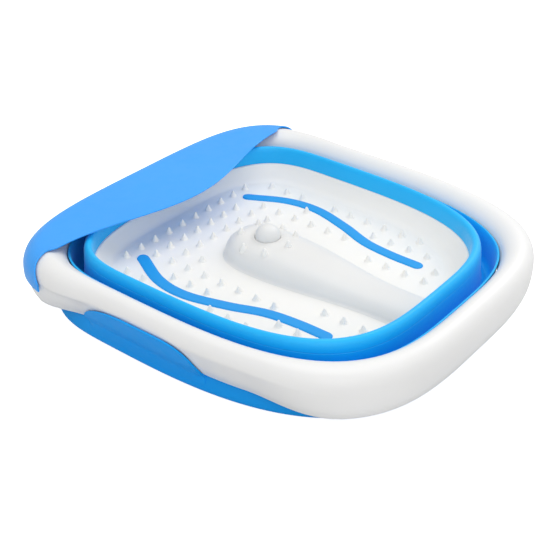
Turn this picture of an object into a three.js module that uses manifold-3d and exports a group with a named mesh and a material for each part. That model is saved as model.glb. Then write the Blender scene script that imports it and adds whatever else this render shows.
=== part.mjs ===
// Collapsible foot spa basin, shown folded flat: millimetres, +Z up, +Y towards the toes, z = 0 on the floor.
import * as THREE from 'three';
import { mergeVertices } from 'three/addons/utils/BufferGeometryUtils.js';
import Module from 'manifold-3d';

const wasm = await Module();
wasm.setup();

// ---------------------------------------------------------------- driving dimensions
const GAP = 0.3;
const RING_SEGMENTS = 40;
const WIDEST_Y = 50;

// Plan outlines: half width, reach to the toe end, reach to the heel end, and how square each end is.
const TRAY_EDGE = { half: 132, toe: 139, heel: 147, toePower: 3.2, heelPower: 3.5 };
const TRAY_FLOOR = { half: 116, toe: 129, heel: 132, toePower: 3.4, heelPower: 3.4 };
const RIM_CREST = { half: 152, toe: 161, heel: 175, toePower: 3.5, heelPower: 3.5 };
const RIM_BARREL = { half: 178, toe: 179, heel: 198, toePower: 4.3, heelPower: 3.5 };
const BASE_FOOT = { half: 161, toe: 166, heel: 183, toePower: 3.6, heelPower: 2.9 };

// Heights above the floor.
const BASE_BOTTOM_Z = 3.2;
const COVER_TOP_Z = 5.4;
const DECK_Z = 22;
const FLOOR_Z = 30;
const TRAY_EDGE_Z = 45.5;
const RISER_TOP_Z = 41.8;

// Wall thicknesses.
const SHELL_WALL = 2.2;
const TRAY_WALL = 2.2;
const RIM_WALL = 2.5;
const GUARD_WALL = 1.6;

// Cone field on the tray floor.
const CONE_COLUMNS = 12;
const CONE_ROWS = 13;
const CONE_PITCH_X = 18.2;
const CONE_PITCH_Y = 19.07;
const CONE_FIELD_X = 2;
const CONE_RADIUS = 3;
const CONE_HEIGHT = 6;
const CONE_SIDES = 6;

// Central mound and the toe button in it.
const MOUND_TOE_Y = 58;
const MOUND_HEEL_Y = -139;
const MOUND_WIDE_Y = 8;
const MOUND_CREST_Y = 32;
const MOUND_HALF_WIDTH = 34;
const MOUND_HEEL_HALF_WIDTH = 21;
const MOUND_HEIGHT = 20;
const MOUND_HEEL_HEIGHT = 13;
const MOUND_CLEAR = 18;
const MOUND_STATIONS = 16;
const BUTTON_Y = 18;
const BUTTON_RADIUS = 11.4;
const BUTTON_RISE = 11;
const RING_CONES = 7;
const RING_CONE_RADIUS = 25;
const RING_CONE_START = 3.71;
const RING_CONE_FOOT = 3.6;
const RING_CONE_HEIGHT = 6.4;

// Soft massage strips: half width, height and the points their centre lines run through.
const STRIP_HALF_WIDTH = 5.6;
const STRIP_HEIGHT = 1;
const STRIP_CLEAR = 9.2;
const STRIP_PATH = [[73, 101], [90, 66], [93.5, 33], [84, -5], [72, -38], [68, -68], [67.5, -95]];

// ---------------------------------------------------------------- colours and finishes
const WHITE = { color: 0xf3f3f6, roughness: 0.36, metalness: 0 };
const BLUE = { color: 0x2d96e6, roughness: 0.4, metalness: 0 };
const SKY = { color: 0x57b1ff, roughness: 0.34, metalness: 0 };
const SOFT_BLUE = { color: 0x2f97ea, roughness: 0.55, metalness: 0 };
const RUBBER = { color: 0x2a2c2f, roughness: 0.8, metalness: 0 };
const STEEL = { color: 0xb9bcc0, roughness: 0.35, metalness: 0.9 };
const ALUMINIUM = { color: 0xc9cccf, roughness: 0.42, metalness: 0.85 };
const BRASS = { color: 0xb8964a, roughness: 0.4, metalness: 0.9 };
const BOARD_GREEN = { color: 0x1f6b3c, roughness: 0.5, metalness: 0.05 };
const DARK_PLASTIC = { color: 0x34363a, roughness: 0.5, metalness: 0 };

const part = new THREE.Group();
part.name = 'foot_spa_basin';

// ---------------------------------------------------------------- outlines
function outlinePoint(outline, turn, z = 0) {
  const along = Math.sin(turn);
  const across = Math.cos(turn);
  const power = along > 0 ? outline.toePower : outline.heelPower;
  const reach = along > 0 ? outline.toe - WIDEST_Y : outline.heel + WIDEST_Y;
  const radius = (Math.abs(across) ** power + Math.abs(along) ** power) ** (-1 / power);
  return new THREE.Vector3(outline.half * radius * across, WIDEST_Y + reach * radius * along, z);
}

function grow(outline, distance) {
  return {
    ...outline,
    half: outline.half + distance,
    toe: outline.toe + distance,
    heel: outline.heel + distance,
  };
}

function blendOutline(from, to, share) {
  const blended = {};
  for (const key of Object.keys(from)) {
    blended[key] = THREE.MathUtils.lerp(from[key], to[key], share);
  }
  return blended;
}

function outlineLoop(outline, z, segments = RING_SEGMENTS) {
  const loop = [];
  for (let i = 0; i < segments; i += 1) {
    loop.push(outlinePoint(outline, (i / segments) * 2 * Math.PI, z));
  }
  return loop;
}

// Half the outline's width at one y, and 0 beyond its ends.
function halfWidthAt(outline, y) {
  const toeEnd = y > WIDEST_Y;
  const power = toeEnd ? outline.toePower : outline.heelPower;
  const reach = toeEnd ? outline.toe - WIDEST_Y : outline.heel + WIDEST_Y;
  return outline.half * Math.max(0, 1 - Math.abs((y - WIDEST_Y) / reach) ** power) ** (1 / power);
}

// ---------------------------------------------------------------- solids
function signedVolume(points, faces) {
  let volume = 0;
  for (let i = 0; i < faces.length; i += 3) {
    const a = points[faces[i]];
    const b = points[faces[i + 1]];
    const c = points[faces[i + 2]];
    volume += a.dot(new THREE.Vector3().crossVectors(b, c)) / 6;
  }
  return volume;
}

function toGeometry(points, faces) {
  const geometry = new THREE.BufferGeometry();
  const flat = points.flatMap((p) => [p.x, p.y, p.z]);
  geometry.setAttribute('position', new THREE.Float32BufferAttribute(flat, 3));
  const outward = signedVolume(points, faces) > 0;
  const index = [];
  for (let i = 0; i < faces.length; i += 3) {
    const [a, b, c] = [faces[i], faces[i + 1], faces[i + 2]];
    index.push(...(outward ? [a, b, c] : [a, c, b]));
  }
  geometry.setIndex(index);
  return geometry;
}

// Skins equal loops of points; the row of loops is a ring, or is closed by a flat cap at each end.
function skin(loops, ring) {
  const count = loops[0].length;
  const points = loops.flat();
  const faces = [];
  const rows = ring ? loops.length : loops.length - 1;
  for (let i = 0; i < rows; i += 1) {
    const next = (i + 1) % loops.length;
    for (let j = 0; j < count; j += 1) {
      const k = (j + 1) % count;
      const [a, b, c, d] = [i * count + j, i * count + k, next * count + k, next * count + j];
      faces.push(a, b, c, a, c, d);
    }
  }
  if (!ring) {
    for (const [row, reversed] of [[0, true], [loops.length - 1, false]]) {
      const middle = new THREE.Vector3();
      loops[row].forEach((p) => middle.addScaledVector(p, 1 / count));
      points.push(middle);
      for (let j = 0; j < count; j += 1) {
        const edge = [row * count + j, row * count + ((j + 1) % count)];
        if (reversed) edge.reverse();
        faces.push(points.length - 1, ...edge);
      }
    }
  }
  return toGeometry(points, faces);
}

// A sheet of even thickness over a grid of points; it grows on the side its normals point to.
function sheet(grid, thickness) {
  const rows = grid.length;
  const columns = grid[0].length;
  const normalAt = (i, j) => {
    const along = grid[Math.min(i + 1, rows - 1)][j].clone().sub(grid[Math.max(i - 1, 0)][j]);
    const over = grid[i][Math.min(j + 1, columns - 1)].clone().sub(grid[i][Math.max(j - 1, 0)]);
    return along.cross(over).normalize();
  };
  const loops = grid.map((row, i) => {
    const raised = row.map((p, j) => p.clone().addScaledVector(normalAt(i, j), thickness));
    return [...row, ...raised.reverse()];
  });
  return skin(loops, false);
}

function turned(profile, segments = 24) {
  const outline = profile.map(([radius, z]) => new THREE.Vector2(radius, z));
  const geometry = new THREE.LatheGeometry(outline, segments);
  geometry.rotateX(Math.PI / 2);
  return geometry;
}

function rod(radius, low, high, segments = 24) {
  return turned([[0, low], [radius, low], [radius, high], [0, high]], segments);
}

function block(width, depth, low, high) {
  const geometry = new THREE.BoxGeometry(width, depth, high - low);
  geometry.translate(0, 0, (low + high) / 2);
  return geometry;
}

function moved(geometry, x, y, z = 0) {
  geometry.translate(x, y, z);
  return geometry;
}

// ---------------------------------------------------------------- booleans
function toSolid(geometry) {
  const bare = geometry.clone();
  bare.deleteAttribute('normal');
  bare.deleteAttribute('uv');
  const merged = mergeVertices(bare, 1e-5);
  const index = Array.from(merged.index.array);
  const kept = [];
  for (let i = 0; i < index.length; i += 3) {
    const [a, b, c] = [index[i], index[i + 1], index[i + 2]];
    if (a !== b && b !== c && c !== a) kept.push(a, b, c);
  }
  const position = merged.attributes.position;
  const points = [];
  for (let i = 0; i < position.count; i += 1) {
    points.push(new THREE.Vector3().fromBufferAttribute(position, i));
  }
  const faces = signedVolume(points, kept) > 0 ? kept : kept.reverse();
  return new wasm.Manifold(new wasm.Mesh({
    numProp: 3,
    vertProperties: new Float32Array(position.array),
    triVerts: new Uint32Array(faces),
  }));
}

function fromSolid(solid) {
  const mesh = solid.getMesh();
  const geometry = new THREE.BufferGeometry();
  geometry.setAttribute('position', new THREE.Float32BufferAttribute(mesh.vertProperties, 3));
  geometry.setIndex(Array.from(mesh.triVerts));
  return geometry;
}

function joined(...geometries) {
  return fromSolid(geometries.map(toSolid).reduce((whole, piece) => whole.add(piece)));
}

function cut(geometry, ...tools) {
  const tool = tools.map(toSolid).reduce((whole, piece) => whole.add(piece));
  return fromSolid(toSolid(geometry).subtract(tool));
}

function addPiece(name, geometry, finish) {
  const shape = geometry.index ? geometry : mergeVertices(geometry);
  shape.computeVertexNormals();
  const material = new THREE.MeshStandardMaterial({ ...finish, name: `${name}_finish` });
  const piece = new THREE.Mesh(shape, material);
  piece.name = name;
  part.add(piece);
}

// ---------------------------------------------------------------- rim section
// Shares run from 0 on the crest outline to 1 on the barrel outline.
const RIM_INNER_WALL = [[-0.1, 33], [-0.12, 44], [-0.06, 52]];
const SIDE_CROWN = [[0.03, 57.5], [0.2, 62], [0.4, 64.5], [0.6, 63.4], [0.73, 60.6], [0.81, 57.2],
  [0.86, 53.5]];
const END_CROWN = [[0.03, 57.5], [0.2, 62], [0.42, 64.5], [0.66, 63.5], [0.85, 60], [0.96, 54.5],
  [1, 48.5]];
const SIDE_UNDERSIDE = [[0.72, 45], [0.52, 33], [0.28, 22.6]];
const END_UNDERSIDE = [[1, 40], [0.96, 31], [0.86, 24]];

function blendProfile(from, to, share) {
  return from.map(([across, z], i) => [
    THREE.MathUtils.lerp(across, to[i][0], share),
    THREE.MathUtils.lerp(z, to[i][1], share),
  ]);
}

// The long sides end in a crease with a scoop for the fingers below; the ends are full and drop straight.
function rimCrown(y) {
  const share = y > 0 ? THREE.MathUtils.smoothstep(y, 50, 104) : THREE.MathUtils.smoothstep(-y, 85, 165);
  return blendProfile(SIDE_CROWN, END_CROWN, share);
}

function rimUnderside(y) {
  const share = y > 0 ? THREE.MathUtils.smoothstep(y, 84, 132) : THREE.MathUtils.smoothstep(-y, 92, 164);
  return blendProfile(SIDE_UNDERSIDE, END_UNDERSIDE, share);
}

// A vertical frame across the rim at one turn: plan start, outward direction and width.
function rimFrame(turn) {
  const start = outlinePoint(RIM_CREST, turn);
  const outward = outlinePoint(RIM_BARREL, turn).sub(start);
  const width = outward.length();
  outward.normalize();
  return { start, outward, width };
}

function inFrame(frame, [distance, z]) {
  const point = frame.start.clone().addScaledVector(frame.outward, distance);
  point.z = z;
  return point;
}

function rimProfile(turn, width) {
  const { y } = outlinePoint(RIM_BARREL, turn);
  const profile = [...RIM_INNER_WALL, ...rimCrown(y), ...rimUnderside(y)];
  return profile.map(([across, z]) => [across * width, z]);
}

// Moves an open profile sideways; a positive distance goes to the left of its direction of travel.
function shifted(profile, distance) {
  return profile.map(([x, z], i) => {
    const [beforeX, beforeZ] = profile[Math.max(i - 1, 0)];
    const [afterX, afterZ] = profile[Math.min(i + 1, profile.length - 1)];
    const length = Math.hypot(afterX - beforeX, afterZ - beforeZ);
    return [x - ((afterZ - beforeZ) / length) * distance, z + ((afterX - beforeX) / length) * distance];
  });
}

function ringSolid(profileAt, wall) {
  const loops = [];
  for (let i = 0; i < RING_SEGMENTS; i += 1) {
    const turn = (i / RING_SEGMENTS) * 2 * Math.PI;
    const frame = rimFrame(turn);
    const outside = profileAt(turn, frame.width);
    const inside = shifted(outside, -wall).reverse();
    loops.push([...outside, ...inside].map((point) => inFrame(frame, point)));
  }
  return skin(loops, true);
}

// A ring with a closed section given as outlines and heights.
function sectionRing(section) {
  const loops = [];
  for (let i = 0; i < RING_SEGMENTS; i += 1) {
    const turn = (i / RING_SEGMENTS) * 2 * Math.PI;
    loops.push(section.map(([outline, z]) => outlinePoint(outline, turn, z)));
  }
  return skin(loops, true);
}

function levels(section) {
  return skin(section.map(([outline, z]) => outlineLoop(outline, z)), false);
}

// ---------------------------------------------------------------- screws
const COVER_SCREW_TURNS = [0.5, 1.2, 1.94, 2.64, 3.95, 5.47];
const SCREW_OUTLINE = grow(BASE_FOOT, -11);
const SCREW_HEAD_RADIUS = 3;
const SCREW_SHANK_RADIUS = 1.5;
const BOSS_RADIUS = 4;

const coverScrewSpots = COVER_SCREW_TURNS.map((turn) => outlinePoint(SCREW_OUTLINE, turn));

function screw(headZ, headHeight, tipZ) {
  const neckZ = headZ + headHeight;
  return turned([[0, headZ], [SCREW_HEAD_RADIUS, headZ], [SCREW_HEAD_RADIUS, neckZ - 0.4],
    [SCREW_SHANK_RADIUS, neckZ], [SCREW_SHANK_RADIUS, tipZ - 1.2], [0, tipZ]], 10);
}

function screwBore(low, high) {
  return rod(SCREW_SHANK_RADIUS + GAP, low, high, 10);
}

// ---------------------------------------------------------------- base
const FOOT_SPOTS = [[-112, 104], [112, 104], [-100, -118], [100, -118]];
const GLAND_Z = 12.5;
const GLAND_RADIUS = 5;
const TAB_MIDDLE_Y = 15;
const TAB_TOE_LENGTH = 64;
const TAB_HEEL_LENGTH = 60;
const TAB_TOP_Z = 52.4;
const TAB_WALL = 1.9;
const TAB_LOW_Z = 23.2;
const TAB_CLEAR = 1;
const TAB_STATIONS = 15;
const TAB_TOE_POWER = 2;
const TAB_HEEL_POWER = 6;

// Where the scooped side of the rim is at one place along it and one height.
function scoopX(y, z) {
  const line = [...rimCrown(y).slice(-2), ...rimUnderside(y)];
  const i = Math.max(1, line.findIndex((point) => point[1] <= z));
  const share = (z - line[i][1]) / (line[i - 1][1] - line[i][1]);
  const across = THREE.MathUtils.lerp(line[i][0], line[i - 1][0], share);
  return THREE.MathUtils.lerp(halfWidthAt(RIM_CREST, y), halfWidthAt(RIM_BARREL, y), across);
}

// One finger tab: a scalloped flap that rises from the skirt in front of the scooped rim.
function fingerTab(side) {
  const stations = [];
  for (let i = 0; i < TAB_STATIONS; i += 1) {
    const reach = Math.cos((i / (TAB_STATIONS - 1)) * Math.PI);
    const length = reach > 0 ? TAB_TOE_LENGTH : TAB_HEEL_LENGTH;
    const power = reach > 0 ? TAB_TOE_POWER : TAB_HEEL_POWER;
    const y = TAB_MIDDLE_Y + reach * length;
    const rise = (1 - Math.abs(reach) ** power) ** 0.6;
    const top = TAB_LOW_Z + 0.4 + (TAB_TOP_Z - TAB_LOW_Z) * rise;
    const edge = halfWidthAt(BASE_FOOT, y);
    const heights = [0, 0.33, 0.67, 1].map((share) => THREE.MathUtils.lerp(TAB_LOW_Z, top, share));
    const outer = heights.map((z) => [scoopX(y, z) + TAB_CLEAR + TAB_WALL, z]);
    const inner = heights.map((z) => [scoopX(y, z) + TAB_CLEAR, z]).reverse();
    const root = [[edge - 4.2, 20.4], [edge - 2.4, 12], [edge - 1.6, 11], [edge + 1.2, 19]];
    const loop = [...root, ...outer, ...inner];
    stations.push(loop.map(([x, z]) => new THREE.Vector3(side * x, y, z)));
  }
  return skin(stations, false);
}

function baseSkirt() {
  const outside = [[grow(BASE_FOOT, -2.4), BASE_BOTTOM_Z], [grow(BASE_FOOT, -0.6), 5], [BASE_FOOT, 8],
    [grow(BASE_FOOT, -1.6), 15], [grow(BASE_FOOT, -3.4), 20.6], [grow(BASE_FOOT, -5), DECK_Z]];
  const riserOut = grow(TRAY_EDGE, 4.2);
  const riserIn = grow(TRAY_EDGE, 2.2);
  const riser = [[riserOut, DECK_Z], [riserOut, RISER_TOP_Z], [riserIn, RISER_TOP_Z],
    [riserIn, DECK_Z - SHELL_WALL]];
  const inside = [[grow(BASE_FOOT, -6.2), DECK_Z - SHELL_WALL], [grow(BASE_FOOT, -3.8), 15],
    [grow(BASE_FOOT, -2.2), 8], [grow(BASE_FOOT, -4.6), 5], [grow(BASE_FOOT, -4.6), BASE_BOTTOM_Z]];
  const shell = sectionRing([...outside, ...riser, ...inside]);
  const bosses = coverScrewSpots.map((p) => moved(rod(BOSS_RADIUS, 6, DECK_Z - 1, 12), p.x, p.y));
  const bores = coverScrewSpots.map((p) => moved(screwBore(5, 18), p.x, p.y));
  const glandHole = rod(GLAND_RADIUS + GAP, -14, 14, 16);
  glandHole.rotateX(Math.PI / 2);
  moved(glandHole, 0, BASE_FOOT.toe, GLAND_Z);
  return cut(joined(shell, fingerTab(1), fingerTab(-1), ...bosses), ...bores, glandHole);
}

function bottomCover() {
  const edge = grow(BASE_FOOT, -4.6 - GAP);
  const plate = levels([[grow(edge, -0.4), BASE_BOTTOM_Z], [edge, BASE_BOTTOM_Z + 0.4],
    [edge, COVER_TOP_Z]]);
  const counterbore = () => rod(SCREW_HEAD_RADIUS + GAP, 3, 4.7, 12);
  const counterbores = coverScrewSpots.map((p) => moved(counterbore(), p.x, p.y));
  const bores = coverScrewSpots.map((p) => moved(screwBore(4, 6), p.x, p.y));
  return cut(plate, ...counterbores, ...bores);
}

function rubberFoot() {
  const top = BASE_BOTTOM_Z - 0.25;
  return turned([[0, 0], [8, 0], [9, 0.8], [9, top], [0, top]], 20);
}

function cordGland() {
  const bush = turned([[0, -8], [4, -8], [GLAND_RADIUS, -7], [GLAND_RADIUS, 3], [7, 3], [7, 5.5],
    [4.4, 8], [0, 8]], 16);
  bush.rotateX(-Math.PI / 2);
  return moved(bush, 0, BASE_FOOT.toe - 2.6, GLAND_Z);
}

addPiece('base_skirt', baseSkirt(), BLUE);
addPiece('base_bottom_cover', bottomCover(), BLUE);
FOOT_SPOTS.forEach(([x, y], i) => {
  addPiece(`rubber_foot_${i + 1}`, moved(rubberFoot(), x, y), RUBBER);
});
coverScrewSpots.forEach((p, i) => {
  addPiece(`cover_screw_${i + 1}`, moved(screw(3.4, 1.2, 17), p.x, p.y), STEEL);
});
addPiece('cord_gland', cordGland(), RUBBER);

// ---------------------------------------------------------------- massage tray
function moundHalfWidth(y) {
  if (y > MOUND_WIDE_Y) {
    const reach = (y - MOUND_WIDE_Y) / (MOUND_TOE_Y - MOUND_WIDE_Y);
    return MOUND_HALF_WIDTH * Math.sqrt(Math.max(0, 1 - reach ** 3));
  }
  const share = THREE.MathUtils.smoothstep(MOUND_WIDE_Y - y, 0, 125);
  return THREE.MathUtils.lerp(MOUND_HALF_WIDTH, MOUND_HEEL_HALF_WIDTH, share);
}

function moundTop(y) {
  const reach = Math.max(0, (y - MOUND_CREST_Y) / (MOUND_TOE_Y - MOUND_CREST_Y));
  const heelShare = THREE.MathUtils.smoothstep(-y, 0, 110);
  const height = THREE.MathUtils.lerp(MOUND_HEIGHT, MOUND_HEEL_HEIGHT, heelShare);
  return height * Math.sqrt(Math.max(0, 1 - reach ** 2.4));
}

function moundRise(across) {
  return (1 - Math.abs(across) ** 2.6) ** 0.55;
}

function moundSurfaceZ(x, y) {
  const across = x / Math.max(moundHalfWidth(y), 0.1);
  return Math.abs(across) < 1 ? FLOOR_Z + moundTop(y) * moundRise(across) : FLOOR_Z;
}

function moundSolid(inset, bottomZ) {
  const stations = [];
  for (let i = 0; i <= MOUND_STATIONS; i += 1) {
    const reach = 0.5 - 0.5 * Math.cos((i / MOUND_STATIONS) * Math.PI);
    const y = THREE.MathUtils.lerp(MOUND_TOE_Y - 0.4 - inset, MOUND_HEEL_Y + inset, reach);
    const half = Math.max(moundHalfWidth(y + inset * (y > 0)) - inset, 1);
    const loop = [new THREE.Vector3(half, y, bottomZ), new THREE.Vector3(-half, y, bottomZ)];
    for (let j = 0; j <= 12; j += 1) {
      const across = -Math.cos((j / 12) * Math.PI);
      const z = FLOOR_Z - inset + Math.max(moundTop(y + inset * (y > 0)), 0.6) * moundRise(across);
      loop.push(new THREE.Vector3(half * across, y, z));
    }
    stations.push(loop);
  }
  return skin(stations, false);
}

function cone(radius, height, x, y, z) {
  const profile = [[0, -0.8], [radius, -0.8], [radius * 0.3, height - 0.5], [0, height]];
  return moved(turned(profile, CONE_SIDES), x, y, z);
}

function stripCurve(side) {
  return new THREE.CatmullRomCurve3(STRIP_PATH.map(([x, y]) => new THREE.Vector3(side * x, y, 0)));
}

function nearStrip(x, y) {
  const samples = stripCurve(Math.sign(x)).getPoints(60);
  return samples.some((p) => Math.hypot(p.x - x, p.y - y) < STRIP_CLEAR);
}

function nearMound(x, y) {
  const beyondToe = y > MOUND_TOE_Y + 6;
  const clear = y > 42 ? 10 : MOUND_CLEAR;
  return !beyondToe && Math.abs(x) < moundHalfWidth(Math.min(y, MOUND_TOE_Y - 5)) + clear;
}

function floorCones() {
  const cones = [];
  for (let i = 0; i < CONE_COLUMNS; i += 1) {
    for (let j = 0; j < CONE_ROWS; j += 1) {
      const x = CONE_FIELD_X + (i - (CONE_COLUMNS - 1) / 2) * CONE_PITCH_X;
      const y = (j - (CONE_ROWS - 1) / 2) * CONE_PITCH_Y;
      const clear = !nearStrip(x, y) && !nearMound(x, y);
      if (clear && Math.abs(x) < halfWidthAt(grow(TRAY_FLOOR, -2), y)) {
        cones.push(cone(CONE_RADIUS, CONE_HEIGHT, x, y, FLOOR_Z));
      }
    }
  }
  return cones;
}

function ringCones() {
  const cones = [];
  for (let i = 0; i < RING_CONES; i += 1) {
    const turn = RING_CONE_START + (i / RING_CONES) * 2 * Math.PI;
    const x = RING_CONE_RADIUS * Math.cos(turn);
    const y = BUTTON_Y + RING_CONE_RADIUS * Math.sin(turn);
    cones.push(cone(RING_CONE_FOOT, RING_CONE_HEIGHT, x, y, moundSurfaceZ(x, y) - 0.8));
  }
  return cones;
}

function massageTray() {
  const midSlope = blendOutline(TRAY_FLOOR, TRAY_EDGE, 0.62);
  const highSlope = blendOutline(TRAY_FLOOR, TRAY_EDGE, 0.86);
  const lip = grow(TRAY_EDGE, 3.4);
  const inside = [[TRAY_FLOOR, FLOOR_Z], [grow(TRAY_FLOOR, 3.5), 30.9], [midSlope, 36],
    [highSlope, 41.5], [TRAY_EDGE, TRAY_EDGE_Z], [lip, TRAY_EDGE_Z]];
  const outside = [[lip, 43.6], [grow(TRAY_EDGE, 1.6), 43.4], [grow(highSlope, 2.2), 40.9],
    [grow(midSlope, 1.7), 34.2], [grow(TRAY_FLOOR, 4.2), 28.8], [grow(TRAY_FLOOR, 1), FLOOR_Z - TRAY_WALL]];
  const bowl = levels([...inside, ...outside]);
  const buttonHole = moved(rod(BUTTON_RADIUS + GAP, 34, 66, 24), 0, BUTTON_Y);
  const shell = joined(bowl, moundSolid(0, FLOOR_Z - 1), ...floorCones(), ...ringCones());
  return cut(shell, moundSolid(TRAY_WALL, FLOOR_Z - 6), buttonHole);
}

function massageStrip(side) {
  const curve = stripCurve(side);
  const steps = 20;
  const left = [];
  const right = [];
  for (let i = 0; i <= steps; i += 1) {
    const point = curve.getPoint(i / steps);
    const heading = curve.getTangent(i / steps);
    const sideways = new THREE.Vector2(-heading.y, heading.x).multiplyScalar(STRIP_HALF_WIDTH);
    const middle = new THREE.Vector2(point.x, point.y);
    left.push(middle.clone().add(sideways));
    right.push(middle.clone().sub(sideways));
  }
  const roundEnd = (share, sign) => {
    const middle = curve.getPoint(share);
    const heading = curve.getTangent(share).multiplyScalar(sign);
    const end = [];
    for (let i = 1; i < 8; i += 1) {
      const turn = (i / 8) * Math.PI;
      const across = Math.cos(turn) * STRIP_HALF_WIDTH;
      const ahead = Math.sin(turn) * STRIP_HALF_WIDTH;
      end.push(new THREE.Vector2(
        middle.x + heading.x * ahead - heading.y * across,
        middle.y + heading.y * ahead + heading.x * across,
      ));
    }
    return end;
  };
  const outline = [...left, ...roundEnd(1, 1), ...right.reverse(), ...roundEnd(0, -1)];
  const flat = new THREE.Shape(outline);
  const geometry = new THREE.ExtrudeGeometry(flat, { depth: STRIP_HEIGHT, bevelEnabled: false });
  return fromSolid(toSolid(moved(geometry, 0, 0, FLOOR_Z + 0.1)));
}

function trayGasket() {
  const low = RISER_TOP_Z + 0.25;
  const high = 43.15;
  return sectionRing([[grow(TRAY_EDGE, 2.3), low], [grow(TRAY_EDGE, 4), low], [grow(TRAY_EDGE, 4), high],
    [grow(TRAY_EDGE, 2.3), high]]);
}

addPiece('massage_tray', massageTray(), WHITE);
addPiece('massage_strip_left', massageStrip(-1), SOFT_BLUE);
addPiece('massage_strip_right', massageStrip(1), SOFT_BLUE);
addPiece('tray_gasket', trayGasket(), RUBBER);

// ---------------------------------------------------------------- folding wall
// Three bands of one moulded skin: it folds between the tray edge and the rim.
const FOLD_RIDGE_Z = 61.8;
const FOLD_VALLEY_Z = 26.6;
const INNER_BAND_TOP_Z = 60;
const RIM_INNER_FOOT_Z = 33;
const OUTER_BAND_WALL_SHARE = 0.09;
const OUTER_BAND_INSET = 4;
const OUTER_BAND_WALL = 1.6;
const OUTER_BAND_TOP_Z = 50;

function foldOutline(share) {
  return blendOutline(TRAY_EDGE, RIM_CREST, share);
}

function innerBand() {
  const low = TRAY_EDGE_Z + GAP;
  const top = INNER_BAND_TOP_Z;
  return sectionRing([[foldOutline(0.06), low], [foldOutline(0.09), top - 1], [foldOutline(0.12), top],
    [foldOutline(0.16), top - 0.6], [foldOutline(0.175), top - 3], [foldOutline(0.16), low]]);
}

function middleBand() {
  const top = FOLD_RIDGE_Z;
  const ridge = [[foldOutline(0.195), top - 1], [foldOutline(0.22), top], [foldOutline(0.29), top],
    [foldOutline(0.34), top - 1.4], [foldOutline(0.37), top - 5]];
  return sectionRing([[foldOutline(0.195), 46], ...ridge, [foldOutline(0.4), 46],
    [foldOutline(0.44), FOLD_VALLEY_Z], [foldOutline(0.35), FOLD_VALLEY_Z], [foldOutline(0.31), 44]]);
}

function outerBand() {
  const low = FOLD_VALLEY_Z - 2.4;
  const wall = OUTER_BAND_WALL_SHARE;
  const outside = grow(RIM_CREST, -OUTER_BAND_INSET);
  const inside = grow(RIM_CREST, -OUTER_BAND_INSET - OUTER_BAND_WALL);
  return sectionRing([[foldOutline(0.465), FOLD_VALLEY_Z + 4], [foldOutline(0.48), low + 1.2],
    [foldOutline(0.52), low], [foldOutline(0.66), low], [foldOutline(0.74), low + 2],
    [outside, RIM_INNER_FOOT_Z], [outside, OUTER_BAND_TOP_Z], [inside, OUTER_BAND_TOP_Z],
    [inside, RIM_INNER_FOOT_Z + 1], [foldOutline(0.66), low + 3.2],
    [foldOutline(0.57), low + 2], [foldOutline(0.465 + wall), FOLD_VALLEY_Z + 4]]);
}

addPiece('folding_wall_inner_band', innerBand(), SOFT_BLUE);
addPiece('folding_wall_middle_band', middleBand(), SOFT_BLUE);
addPiece('folding_wall_outer_band', outerBand(), SOFT_BLUE);

// ---------------------------------------------------------------- rim
const CLAMP_LOW_Z = 38;
const CLAMP_HIGH_Z = 40.4;
const RIM_SCREW_TURNS = [0.78, 2.36, 4.0, 5.42];

function rimOutline(share) {
  return blendOutline(RIM_CREST, RIM_BARREL, share);
}

const rimScrewSpots = RIM_SCREW_TURNS.map((turn) => outlinePoint(rimOutline(0.3), turn));

function clampRing() {
  const inner = grow(RIM_CREST, 1);
  const outer = rimOutline(0.46);
  const ring = sectionRing([[inner, CLAMP_LOW_Z], [outer, CLAMP_LOW_Z], [outer, CLAMP_HIGH_Z],
    [inner, CLAMP_HIGH_Z]]);
  const bores = rimScrewSpots.map((p) => moved(screwBore(36, 42), p.x, p.y));
  return cut(ring, ...bores);
}

function rimShell() {
  const shell = ringSolid(rimProfile, RIM_WALL);
  const bosses = rimScrewSpots.map((p) => moved(rod(BOSS_RADIUS, CLAMP_HIGH_Z + GAP, 62, 12), p.x, p.y));
  const bores = rimScrewSpots.map((p) => moved(screwBore(40, 54), p.x, p.y));
  return cut(joined(shell, ...bosses), ...bores);
}

addPiece('rim_shell', rimShell(), WHITE);
addPiece('rim_clamp_ring', clampRing(), WHITE);
rimScrewSpots.forEach((p, i) => {
  addPiece(`rim_screw_${i + 1}`, moved(screw(CLAMP_LOW_Z - 1.9, 1.6, 52), p.x, p.y), STEEL);
});

// ---------------------------------------------------------------- splash guard
// The tips and shoulders are counted in ring segments from the widest line.
const GUARD_TIP = 3.1;
const GUARD_SHOULDER = 4;
const GUARD_STAND_OFF = 1;
const GUARD_LEAST_LIP = 1.8;
const GUARD_TIP_STEPS = 6;
const GUARD_TIP_SPAN = 0.16;
const GUARD_FINE_STEPS = 61;
const GUARD_EDGE_Y = 97;
const GUARD_EDGE_RISE = 28;
const GUARD_EDGE_HALF_SPAN = 150;
const GUARD_EDGE_Z = 66;
const GUARD_COLUMNS = 10;
const GUARD_LIP_COLUMNS = 3;

function guardInnerEdge(x) {
  const share = Math.min(Math.abs(x) / GUARD_EDGE_HALF_SPAN, 1);
  const y = GUARD_EDGE_Y + GUARD_EDGE_RISE * Math.sin((share * Math.PI) / 2) ** 2;
  return new THREE.Vector3(x * 0.97, y, GUARD_EDGE_Z);
}

function spread(path, count) {
  const lengths = [0];
  for (let i = 1; i < path.length; i += 1) {
    lengths.push(lengths[i - 1] + path[i].distanceTo(path[i - 1]));
  }
  const total = lengths[lengths.length - 1];
  const points = [];
  for (let j = 0; j < count; j += 1) {
    const wanted = (total * j) / (count - 1);
    const i = Math.max(1, lengths.findIndex((length) => length >= wanted - 1e-6));
    const share = (wanted - lengths[i - 1]) / (lengths[i] - lengths[i - 1]);
    points.push(path[i - 1].clone().lerp(path[i], share));
  }
  return points;
}

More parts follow.
